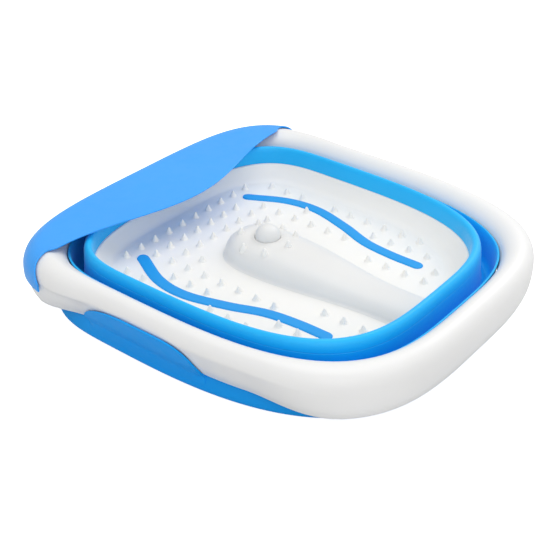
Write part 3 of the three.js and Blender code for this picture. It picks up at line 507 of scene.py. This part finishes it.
# Each material's two colours are the ends of its faint variation.
WHITE = moulded_plastic("white_shell", (0.82, 0.82, 0.815), (0.85, 0.85, 0.845), 0.3, 0.4, subsurface=0.08)
# The tray's own white, with a warm tint that is painted light: it offsets the blue bounce light from the
# folding wall.
TRAY_WHITE_PAINTED_WARM_LIGHT = moulded_plastic("white_tray_painted_warm_light", (0.88, 0.87, 0.84), (0.9, 0.89, 0.86), 0.34, 0.44, subsurface=0.08)
# A darker copy of the tray white, for the mound and the toe button: painted shade.
MOUND_WHITE_PAINTED_SHADE = moulded_plastic("white_mound_painted_shade", (0.76, 0.76, 0.75), (0.79, 0.79, 0.78), 0.34, 0.44,
                              subsurface=0.08)
BASE_BLUE = moulded_plastic("blue_shell", (0.006, 0.33, 0.88), (0.01, 0.35, 0.91), 0.4, 0.5, specular=0.15)
GUARD_BLUE = moulded_plastic("sky_guard", (0.03, 0.35, 0.96), (0.035, 0.37, 0.98), 0.34, 0.44,
                             subsurface=0.05)
SOFT_BLUE = soft_plastic("soft_blue", (0.003, 0.46, 0.95), (0.005, 0.49, 0.98))
STRIP_BLUE = soft_plastic("strip_blue", (0.002, 0.31, 0.78), (0.004, 0.33, 0.81))
RUBBER = black_rubber("black_rubber")
STEEL = metal("bright_steel", (0.46, 0.47, 0.49), (0.56, 0.57, 0.59), 0.22, 0.36)
ALUMINIUM = metal("sheet_aluminium", (0.6, 0.61, 0.63), (0.68, 0.69, 0.7), 0.3, 0.42)
BRASS = metal("plain_brass", (0.5, 0.32, 0.1), (0.58, 0.38, 0.13), 0.24, 0.38, brushed=False)
DARK = moulded_plastic("dark_nylon", (0.02, 0.021, 0.024), (0.034, 0.036, 0.04), 0.45, 0.6)
BOARD = moulded_plastic("board_green", (0.01, 0.12, 0.04), (0.014, 0.15, 0.05), 0.35, 0.5)


def dress(piece, material, body, nodes):
    """Gives a piece its material and slot, and lets it ride on a body in place of its CAD nodes."""
    piece.data.materials.append(material)
    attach(piece, body)
    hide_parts(*nodes)


# ---------------------------------------------------------------- rim
def between_sections(side, end, y, toe_run, heel_run):
    share = float(smoothstep(y, *toe_run) if y > 0 else smoothstep(-y, *heel_run))
    return [mixed(p, q, share) for p, q in zip(side, end)]


def rim_crown(y):
    """The top of the rim's section, out to the crease on the long sides or the barrel at the ends."""
    return between_sections(SIDE_CROWN, END_CROWN, y, CROWN_TURNS_TOE, CROWN_TURNS_HEEL)


def rim_underside(y):
    return between_sections(SIDE_UNDERSIDE, END_UNDERSIDE, y, UNDERSIDE_TURNS_TOE, UNDERSIDE_TURNS_HEEL)


def rim_frame(turn):
    """Where the section at a turn starts, which way it runs, and how wide it is."""
    start = outline_xy(RIM_CREST, turn)
    reach = outline_xy(RIM_BARREL, turn) - start
    width = float(np.linalg.norm(reach))
    return start, reach / width, width


def rim_line(turn, width):
    y = float(outline_xy(RIM_BARREL, turn)[1])
    crown = rim_crown(y)
    top = curve([(s * width, z) for s, z in RIM_INNER_WALL + crown], 64)
    low = curve([(s * width, z) for s, z in crown[-1:] + rim_underside(y)], 26)
    return softened(np.vstack([top, low[1:]]), 2)


def placed(line, start, outward):
    across = line[:, 0]
    return np.column_stack([start[0] + across * outward[0], start[1] + across * outward[1], line[:, 1]])


def rim_shell():
    sections = []
    for turn in TURNS:
        start, outward, width = rim_frame(turn)
        line = rim_line(turn, width)
        sections.append(placed(with_thickness(line, line_normals(line, -1), RIM_WALL), start, outward))
    shape = Shape().grid(sections, wrap_rows=True, wrap_columns=True)
    return shape.make("rim_moulding")


dress(rim_shell(), WHITE, "rim", ["rim_shell"])


# ---------------------------------------------------------------- folding wall
def fold_outline(share):
    """Spread evenly between tray and rim at first, then at a fixed distance from the rim's inner wall."""
    spread_out = mixed(TRAY_EDGE, RIM_CREST, share)
    along_rim = grow(RIM_CREST, (share - 1) * (RIM_CREST[0] - TRAY_EDGE[0]))
    return mixed(spread_out, along_rim, float(smoothstep(share, *FOLD_FOLLOWS_RIM)))


def folding_wall():
    """The three runs of one smooth section, so that neighbours meet point for point, and where they meet."""
    nominal = RIM_CREST[0] - TRAY_EDGE[0]
    corners = FOLD_INNER + FOLD_MIDDLE[1:] + FOLD_OUTER[1:]
    line = curve([(s * nominal, z) for s, z in corners], 150)
    normals = line_normals(line, -1)
    inside = line + normals * FOLD_SKIN
    crown = int(np.argmax(line[:, 1]))
    valley = int(np.argmin(line[:, 1]))
    shoulder = crown + int(np.argmin(np.abs(line[crown:valley, 1] - FOLD_SHOULDER_Z)))
    runs = []
    for low, high in [(0, shoulder), (shoulder, valley), (valley, len(line) - 1)]:
        section = np.vstack([line[low:high + 1], inside[low:high + 1][::-1]])
        levels = [(fold_outline(x / nominal), z) for x, z in section]
        runs.append(Shape().grid(ring(levels), wrap_rows=True, wrap_columns=True))
    return runs, line[shoulder, 1], line[valley, 1]


fold_runs, shoulder_z, valley_z = folding_wall()
dress(fold_runs[0].make("folding_wall_inner"), SOFT_BLUE, "base", ["folding_wall_inner_band"])
wall_middle = fold_runs[1].make("folding_wall_middle")
wall_middle.data.materials.append(SOFT_BLUE)
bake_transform(wall_middle)
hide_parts("folding_wall_middle_band")
dress(fold_runs[2].make("folding_wall_outer"), SOFT_BLUE, "rim", ["folding_wall_outer_band"])


# ---------------------------------------------------------------- massage tray
def mound_half_width(y):
    if y > MOUND_WIDE_Y:
        reach = (y - MOUND_WIDE_Y) / (MOUND_TOE_Y - MOUND_WIDE_Y)
        return MOUND_HALF_WIDTH * math.sqrt(max(0.0, 1 - reach ** 3))
    share = float(smoothstep(MOUND_WIDE_Y - y, 0, MOUND_NARROWS_OVER))
    return MOUND_HALF_WIDTH + (MOUND_HEEL_HALF_WIDTH - MOUND_HALF_WIDTH) * share


def mound_top(y):
    reach = max(0.0, (y - MOUND_CREST_Y) / (MOUND_TOE_Y - MOUND_CREST_Y))
    height = MOUND_HEIGHT + (MOUND_HEEL_HEIGHT - MOUND_HEIGHT) * float(smoothstep(-y, 0, MOUND_LOWERS_OVER))
    return height * math.sqrt(max(0.0, 1 - reach ** 2.4))


def mound_rise(across):
    """The mound's height as a share of its top, for a place from -1 to 1 across it."""
    return (1 - abs(across) ** 2.6) ** 0.55 if abs(across) < 1 else 0.0


def mound_z(x, y):
    return FLOOR_Z + mound_top(y) * mound_rise(x / max(mound_half_width(y), 0.1))


def strip_points(side, count):
    return curve(STRIP_PATH, count) * (side, 1)


def tray_bowl(shape):
    """The floor's middle, the slope up to the lip, and the underside."""
    nominal = TRAY_EDGE[0] - TRAY_FLOOR[0]
    inside = curve([(s * nominal, z) for s, z in TRAY_SLOPE], 44)
    lip = np.array(TRAY_LIP) * (nominal, 1)
    under = np.array(TRAY_UNDER) * (nominal, 1)
    line = np.vstack([inside, lip, under])
    levels = [(mixed(TRAY_FLOOR, TRAY_EDGE, x / nominal), z) for x, z in line]
    rows = ring(levels)
    centre = np.array([0, TRAY_CENTRE_Y, FLOOR_Z])
    fans = [centre + (rows[0] - centre) * share for share in (0.01, 0.35, 0.7)]
    shape.grid(np.vstack([np.array(fans), rows]), wrap_columns=True)


def tray_mound(shape):
    """Sections from toe to heel, closest at both ends, without the faces that the button comes through."""
    angles = np.linspace(0, math.pi, 49)
    rows = []
    for i in range(MOUND_STATIONS):
        reach = 0.5 - 0.5 * math.cos(i / (MOUND_STATIONS - 1) * math.pi)
        y = (MOUND_TOE_Y - NEARLY_NOTHING) + (MOUND_HEEL_Y - MOUND_TOE_Y) * reach
        half, top = mound_half_width(y), mound_top(y)
        flare = min(1.0, half / 12)
        foot = [(half + out * flare, z) for out, z in MOUND_FOOT]
        body = [(-half * math.cos(a), top * mound_rise(math.cos(a))) for a in angles[2:-2]]
        left = [(-x, z) for x, z in foot]
        line = left + body + foot[::-1]
        rows.append([(x, y, FLOOR_Z + z) for x, z in line])
    rows = np.array(rows)
    start = len(shape.points)
    shape.points.extend(rows.reshape(-1, 3).tolist())
    for face in grid_faces(*rows.shape[:2], False, False, start):
        middle = np.mean([shape.points[v] for v in face], axis=0)
        if math.hypot(middle[0], middle[1] - BUTTON_Y) > BUTTON_RADIUS + BUTTON_HOLE_MARGIN:
            shape.faces.append(face)


def button_well(shape):
    """The rounded edge of the hole round the button, lying on the mound."""
    turns = np.linspace(0, 2 * math.pi, 72, endpoint=False)
    rows = []
    for gap, drop in BUTTON_WELL:
        radius = BUTTON_RADIUS + gap
        row = []
        for t in turns:
            x, y = radius * math.cos(t), BUTTON_Y + radius * math.sin(t)
            row.append((x, y, mound_z(x, y) - drop))
        rows.append(row)
    shape.grid(rows, wrap_columns=True)


def near_mound(x, y):
    clear = CONE_CLEAR_AT_TOE if y > CONE_TOE_Y else CONE_CLEAR_AT_SIDE
    beside = abs(x) < mound_half_width(min(y, MOUND_TOE_Y - 5)) + clear
    return y < MOUND_TOE_Y + CONE_CLEAR_BEYOND_MOUND and beside


def floor_cones(shape):
    """A grid of cones, left out over the strips, round the mound and on the slope."""
    strips = np.vstack([strip_points(-1, 160), strip_points(1, 160)])
    flat = grow(TRAY_FLOOR, -CONE_CLEAR_OF_SLOPE)
    for i in range(CONE_COLUMNS):
        for j in range(CONE_ROWS):
            x = CONE_FIELD_X + (i - (CONE_COLUMNS - 1) / 2) * CONE_PITCH_X
            y = (j - (CONE_ROWS - 1) / 2) * CONE_PITCH_Y
            near_strip = np.min(np.hypot(strips[:, 0] - x, strips[:, 1] - y)) < STRIP_CLEAR
            if near_strip or near_mound(x, y) or abs(x) > half_width_at(flat, y):
                continue
            shape.lathe(CONE_PROFILE, (x, y, FLOOR_Z), CONE_STEPS)


def ring_cones(shape):
    """Slightly wider cones round the button, with roots that reach into the sloping mound."""
    profile = [(r * RING_CONE_WIDTH, z if z > RING_CONE_FOOT_Z else z - RING_CONE_ROOT)
               for r, z in CONE_PROFILE]
    for i in range(RING_CONES):
        turn = RING_CONE_START + i / RING_CONES * 2 * math.pi
        x, y = RING_CONE_RADIUS * math.cos(turn), BUTTON_Y + RING_CONE_RADIUS * math.sin(turn)
        shape.lathe(profile, (x, y, mound_z(x, y) - RING_CONE_SINK), CONE_STEPS)


def massage_tray():
    """The tray, and the run of its faces that belongs to the mound."""
    shape = Shape()
    tray_bowl(shape)
    first = len(shape.faces)
    tray_mound(shape)
    button_well(shape)
    last = len(shape.faces)
    floor_cones(shape)
    ring_cones(shape)
    return shape.make("massage_tray_moulding", sharp=50), slice(first, last)


tray, shaded_mound_faces = massage_tray()
# The tray white carries a painted warm tint against blue bounce light.
dress(tray, TRAY_WHITE_PAINTED_WARM_LIGHT, "base", ["massage_tray"])
# The mound's faces take the darker copy of the tray white: painted shade.
tray.data.materials.append(MOUND_WHITE_PAINTED_SHADE)
for polygon in tray.data.polygons[shaded_mound_faces]:
    polygon.material_index = 1


def strip_end(point, heading, turns):
    """Stations of a round end: a place, a heading and a share of the full width for each."""
    return [(point + heading * math.sin(turn) * STRIP_HALF_WIDTH, heading, max(math.cos(turn), 0.02))
            for turn in turns]


def massage_strip(side, name):
    """A low crowned strip with round ends, whose long edges go down into the floor."""
    line = strip_points(side, STRIP_STATIONS)
    run = np.gradient(line, axis=0)
    run /= np.linalg.norm(run, axis=1)[:, None]
    stations = strip_end(line[0], run[0], np.linspace(-math.pi / 2, 0, 12, endpoint=False))
    stations += [(line[i], run[i], 1.0) for i in range(len(line))]
    stations += strip_end(line[-1], run[-1], np.linspace(0, math.pi / 2, 12))
    grid = []
    for middle, heading, width in stations:
        across = np.array([-heading[1], heading[0]])
        row = []
        for s in np.concatenate([[-1.0], np.linspace(-1, 1, 15), [1.0]]):
            lift = STRIP_HEIGHT * (1 - abs(s) ** 5) ** 0.5 * (1 - (1 - width) ** 4)
            point = middle + across * s * width * STRIP_HALF_WIDTH
            row.append((point[0], point[1], FLOOR_Z + STRIP_LIFT + lift))
        row[0] = (*row[1][:2], FLOOR_Z - STRIP_ROOT)
        row[-1] = (*row[-2][:2], FLOOR_Z - STRIP_ROOT)
        grid.append(row)
    return Shape().grid(grid).make(name, sharp=60)


dress(massage_strip(-1, "strip_left"), STRIP_BLUE, "base", ["massage_strip_left"])
dress(massage_strip(1, "strip_right"), STRIP_BLUE, "base", ["massage_strip_right"])


def toe_button():
    """A dome on a short cylinder, with a flange that keeps it under the mound."""
    low = FLOOR_Z + MOUND_HEIGHT
    profile = [(NEARLY_NOTHING, FLANGE_LOW_Z), (FLANGE_RADIUS, FLANGE_LOW_Z), (FLANGE_RADIUS, FLANGE_TOP_Z),
               (BUTTON_RADIUS, FLANGE_TOP_Z), (BUTTON_RADIUS, low - 1)]
    for turn in np.linspace(0, math.pi / 2, 22):
        radius = max(BUTTON_RADIUS * math.cos(turn), NEARLY_NOTHING)
        profile.append((radius, low + BUTTON_RISE * math.sin(turn)))
    return Shape().lathe(profile, (0, BUTTON_Y, 0), 64).make("toe_button_dome", sharp=50)


# The dome takes the same darker white as the mound: painted shade.
dress(toe_button(), MOUND_WHITE_PAINTED_SHADE, "toe_button", ["toe_button_cap"])


def button_spring():
    rows = []
    for share in np.linspace(0, 1, 72 * SPRING_COILS):
        turn = share * SPRING_COILS * 2 * math.pi
        z = SPRING_LOW_Z + (SPRING_TOP_Z - SPRING_LOW_Z) * share
        row = []
        for around in np.linspace(0, 2 * math.pi, 12, endpoint=False):
            radius = SPRING_RADIUS + SPRING_WIRE * math.cos(around)
            row.append((radius * math.cos(turn), BUTTON_Y + radius * math.sin(turn),
                        z + SPRING_WIRE * math.sin(around)))
        rows.append(row)
    return Shape().grid(rows, wrap_columns=True, cap_rows=True).make("button_spring_coil", sharp=50)


spring = button_spring()
spring.data.materials.append(STEEL)
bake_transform(spring)
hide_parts("toe_button_spring")


# ---------------------------------------------------------------- splash guard
def guard_inner_edge(x):
    """The wavy edge over the tray, nearest the heel in the middle."""
    share = min(abs(x) / GUARD_EDGE_HALF_SPAN, 1)
    y = GUARD_EDGE_Y + GUARD_EDGE_RISE * math.sin(share * math.pi / 2) ** 2
    return np.array([x * GUARD_EDGE_NARROWING, y, GUARD_EDGE_Z])


def guard_path(turn):
    """The guard's inside face over the rim, from its low outer edge to its inner edge."""
    start, outward, width = rim_frame(turn)
    corners = [GUARD_LOW_EDGE] + rim_crown(float(start[1]))[2:][::-1]
    line = curve([(s * width, z) for s, z in corners], GUARD_STEPS + 1)
    line = line + line_normals(line, -1) * GUARD_STAND_OFF
    path = placed(line, start, outward)
    from_middle = abs(turn - math.pi / 2)
    tip, shoulder = math.pi / 2 - GUARD_TIP_TURN, math.pi / 2 - GUARD_SHOULDER_TURN
    spanned = float(np.clip((tip - from_middle) / (tip - shoulder), 0.0, 1.0))
    lip = smoothstep(spanned, GUARD_LIP_START, 1.0)
    last = int(round(GUARD_STEPS * (GUARD_TIP_SHARE + (1 - GUARD_TIP_SHARE) * spanned)))
    top = path[last]
    ahead = path[last] - path[last - 1]
    short = top + ahead / np.linalg.norm(ahead) * GUARD_LIP
    edge = guard_inner_edge(top[0])
    if top[1] - edge[1] < GUARD_LIP:
        edge = np.array([top[0], top[1] - GUARD_LIP, top[2]])
    edge = short * (1 - lip) + edge * lip
    body = resample(path[:last + 1], 40)
    skirt = np.array([top + (edge - top) * t for t in np.linspace(0, 1, 21)[1:]])
    return softened(np.vstack([body, skirt]), 6)


def splash_guard():
    """One wall's thickness added outside the paths, round the toe end from tip to tip."""
    turns = np.linspace(GUARD_TIP_TURN, math.pi - GUARD_TIP_TURN, GUARD_TURNS)
    paths = np.array([guard_path(t) for t in turns])
    along, over = np.gradient(paths, axis=0), np.gradient(paths, axis=1)
    normals = np.cross(along, over)
    normals /= np.linalg.norm(normals, axis=2)[:, :, None]
    if normals[GUARD_TURNS // 2, 30, 2] < 0:
        normals = -normals
    sections = [with_thickness(p, n, GUARD_WALL) for p, n in zip(paths, normals)]
    return Shape().grid(sections, wrap_columns=True, cap_rows=True).make("splash_guard_moulding", sharp=60)


dress(splash_guard(), GUARD_BLUE, "guard", ["splash_guard"])


# ---------------------------------------------------------------- base
def scoop_x(y, z):
    """How far out the rim's creased side reaches at a place and height."""
    line = (rim_crown(y)[-2:] + rim_underside(y))[::-1]
    share = np.interp(z, [p[1] for p in line], [p[0] for p in line])
    crest = half_width_at(RIM_CREST, y)
    return crest + (half_width_at(RIM_BARREL, y) - crest) * share


def base_skirt(shape):
    """A closed section: the outer side, the shelf, the collar round the tray, and the inside."""
    outside = [*curve(SKIRT_SIDE, 40), SKIRT_SHELF]
    levels = [(grow(BASE_FOOT, x), z) for x, z in outside]
    levels += [(grow(TRAY_EDGE, x), z) for x, z in SKIRT_COLLAR]
    levels += [(grow(BASE_FOOT, x), z) for x, z in SKIRT_INSIDE]
    shape.grid(ring(levels), wrap_rows=True, wrap_columns=True)


def finger_tab(shape, side):
    """A tongue that rises from the skirt over the rim's crease, with a rounded outline and edge."""
    rows = []
    for i in range(TAB_STATIONS):
        reach = math.cos(i / (TAB_STATIONS - 1) * math.pi)
        length = TAB_TOE_LENGTH if reach > 0 else TAB_HEEL_LENGTH
        power = TAB_TOE_POWER if reach > 0 else TAB_HEEL_POWER
        y = TAB_MIDDLE_Y + reach * length
        top = TAB_LOW_Z + 0.4 + (TAB_TOP_Z - TAB_LOW_Z) * max(0.0, 1 - abs(reach) ** power) ** TAB_SOFTNESS
        edge = half_width_at(BASE_FOOT, y)
        proud = max(0.0, 1 - abs(reach) ** 10) ** 0.5
        root = [(edge - 0.6, 8.5), (edge - 0.5 + 0.6 * proud, 13), (edge - 2.4 + 3.4 * proud, 18.6)]
        flank = [(scoop_x(y, z) + TAB_CLEAR + TAB_WALL, z) for z in np.linspace(TAB_LOW_Z, top, 8)]
        line = softened(curve(root + flank, 40), 3)
        section = with_thickness(line, line_normals(line, 1), TAB_WALL)
        rows.append([(side * x, y, z) for x, z in section])
    shape.grid(rows, wrap_columns=True, cap_rows=True, flip=side < 0)


def base():
    shape = Shape()
    base_skirt(shape)
    finger_tab(shape, 1)
    finger_tab(shape, -1)
    return shape.make("base_skirt_moulding", sharp=45)


dress(base(), BASE_BLUE, "base", ["base_skirt"])


def bottom_cover():
    """The cover plate as seen from below: a rounded rim and a shallow recess inside it."""
    edge = grow(BASE_FOOT, -COVER_INSET)
    rows = ring([(grow(edge, x), z) for x, z in COVER_SECTION])
    centre = np.array(COVER_CENTRE)
    fans = [centre + (rows[-1] - centre) * share for share in (0.7, 0.35, 0.01)]
    shape = Shape().grid(np.vstack([rows, np.array(fans)]), wrap_columns=True)
    return shape.make("bottom_cover_plate", sharp=40)


dress(bottom_cover(), BASE_BLUE, "base", ["base_bottom_cover"])


# ---------------------------------------------------------------- feet, screws and cord gland
def centre_of(node):
    """The middle of a CAD node's box, in the shapes' own millimetres."""
    low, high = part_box(node)
    return [(low[k] + high[k]) / 2 / MM - (SHIFT_Y if k == 1 else 0) for k in range(3)]


def rubber_foot(index):
    """A round pad that stands on a ring."""
    x, y, _ = centre_of(f"rubber_foot_{index}")
    return Shape().lathe(FOOT_PROFILE, (x, y, 0), 48).make(f"foot_pad_{index}", sharp=50)


for index in range(1, 5):
    dress(rubber_foot(index), RUBBER, "base", [f"rubber_foot_{index}"])


def screw_piece(node, name):
    """A pan-head screw seen from below, with a cross recess in its head."""
    low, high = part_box(node)
    x, y, _ = centre_of(node)
    z = low[2] / MM
    shank = [(SCREW_SHANK_RADIUS, high[2] / MM - z - SCREW_POINT), (NEARLY_NOTHING, high[2] / MM - z)]
    shape = Shape().lathe(SCREW_HEAD + shank, (x, y, z), 28)
    star = []
    for k, turn in enumerate(np.linspace(0, 2 * math.pi, 17)[:-1]):
        radius = RECESS_LONG if k % 4 == 0 else RECESS_SHORT
        star.append((radius * math.cos(turn), radius * math.sin(turn)))
    mouth = [(x + a, y + b, z - 0.02) for a, b in star]
    bottom = [(x + a * 0.5, y + b * 0.5, z + 0.5) for a, b in star]
    shape.grid([mouth, bottom], wrap_columns=True, cap_rows=True)
    return shape.make(name, sharp=35)


for group, body, count in (("cover_screw", "base", 6), ("rim_screw", "rim", 4)):
    for index in range(1, count + 1):
        node = f"{group}_{index}"
        dress(screw_piece(node, f"{group}_head_{index}"), STEEL, body, [node])


def cord_gland():
    """A ribbed rubber bush at the toe end, with its axis along Y."""
    low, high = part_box("cord_gland")
    x, _, z = centre_of("cord_gland")
    inner, outer = low[1] / MM - SHIFT_Y, high[1] / MM - SHIFT_Y
    profile = [(r, inner + y) for r, y in GLAND_BODY]
    for k in range(GLAND_RIBS):
        at = inner + GLAND_RIB_START + k * GLAND_RIB_PITCH
        profile += [(6.2 - k * 0.45, at), (5.2 - k * 0.4, at + 0.5), (5.2 - k * 0.4, at + 1.1)]
    profile += [(r, outer + y) for r, y in GLAND_MOUTH]
    turns = np.linspace(0, 2 * math.pi, 40, endpoint=False)
    rows = [[(x + r * math.cos(t), y, z + r * math.sin(t)) for t in turns] for r, y in profile]
    return Shape().grid(rows, wrap_columns=True, cap_rows=True).make("cord_bush", sharp=40)


dress(cord_gland(), RUBBER, "base", ["cord_gland"])


# ---------------------------------------------------------------- hidden pieces keep their CAD shape
CAD_FINISHES = {
    "rim_clamp_ring": WHITE, "tray_gasket": RUBBER, "toe_button_seal": RUBBER, "toe_button_plunger": DARK,
    "switch_cage": DARK, "micro_switch": DARK, "vibration_motor": STEEL, "motor_bracket": STEEL,
    "motor_shaft": STEEL, "eccentric_weight": BRASS, "motor_rubber_mount_1": RUBBER,
    "motor_rubber_mount_2": RUBBER, "heater_plate_left": ALUMINIUM, "heater_plate_right": ALUMINIUM,
    "thermostat": DARK, "thermal_fuse": BRASS, "control_board": BOARD, "heater_relay": DARK,
    "supply_capacitor": DARK,
}


def finish_hidden(piece, material):
    """A material in the object's own slots, and slightly rounded edges."""
    if not piece.material_slots:
        piece.data.materials.append(None)
    for material_slot in piece.material_slots:
        material_slot.link = "OBJECT"
        material_slot.material = material
    bevel = piece.modifiers.new("edge_round", "BEVEL")
    bevel.width = HIDDEN_EDGE_ROUND * MM
    bevel.segments = 2
    bevel.limit_method = "ANGLE"
    bevel.angle_limit = HIDDEN_EDGE_ANGLE


for node, finish in CAD_FINISHES.items():
    finish_hidden(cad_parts[node], finish)


# ---------------------------------------------------------------- floor, light and camera
def for_camera_rays(nodes, links, target, operation, *numbers):
    """Gives an input one value for rays from the camera and another for all other rays."""
    rays = nodes.new("ShaderNodeLightPath")
    maths = nodes.new("ShaderNodeMath")
    maths.operation = operation
    for place, number in enumerate(numbers, 1):
        maths.inputs[place].default_value = number
    links.new(rays.outputs["Is Camera Ray"], maths.inputs[0])
    links.new(maths.outputs[0], target)


def studio_floor():
    bpy.ops.mesh.primitive_plane_add(size=FLOOR_SIZE, location=(0, 0, 0))
    floor = bpy.context.object
    floor.name = "studio_floor"
    material, nodes, links, shader = new_material("studio_floor")
    shader.inputs["Base Color"].default_value = (FLOOR_GREY, FLOOR_GREY, FLOOR_GREY, 1)
    shader.inputs["Roughness"].default_value = 0.9
    shader.inputs["Emission Color"].default_value = (1, 1, 1, 1)
    for_camera_rays(nodes, links, shader.inputs["Emission Strength"], "MULTIPLY", FLOOR_GLOW)
    floor.data.materials.append(material)


def studio_world():
    world = bpy.data.worlds.new("studio")
    bpy.context.scene.world = world
    world.use_nodes = True
    nodes, links = world.node_tree.nodes, world.node_tree.links
    background = nodes["Background"]
    background.inputs["Color"].default_value = (1, 1, 1, 1)
    for_camera_rays(nodes, links, background.inputs["Strength"], "MULTIPLY_ADD", WORLD_EXTRA_FOR_CAMERA,
                    WORLD_STRENGTH)


def soft_light(name, place, size, power):
    """A round area light that faces the frame's origin."""
    data = bpy.data.lights.new(name, "AREA")
    data.shape = "DISK"
    data.size = size
    data.energy = power
    light = bpy.data.objects.new(name, data)
    light.location = place
    light.rotation_euler = (-Vector(place)).to_track_quat("-Z", "Y").to_euler()
    bpy.context.scene.collection.objects.link(light)


def studio_camera():
    data = bpy.data.cameras.new("camera")
    data.sensor_width = CAMERA_SENSOR
    data.lens = CAMERA_LENS
    camera = bpy.data.objects.new("camera", data)
    bpy.context.scene.collection.objects.link(camera)
    rows = zip(CAMERA_RIGHT, CAMERA_UP, CAMERA_BACK, CAMERA_PLACE)
    camera.matrix_world = Matrix((*rows, (0, 0, 0, 1)))
    bpy.context.scene.camera = camera


studio_floor()
studio_world()
for name, settings in LIGHTS.items():
    soft_light(name, *settings)
studio_camera()
bpy.context.scene.view_settings.view_transform = "Standard"
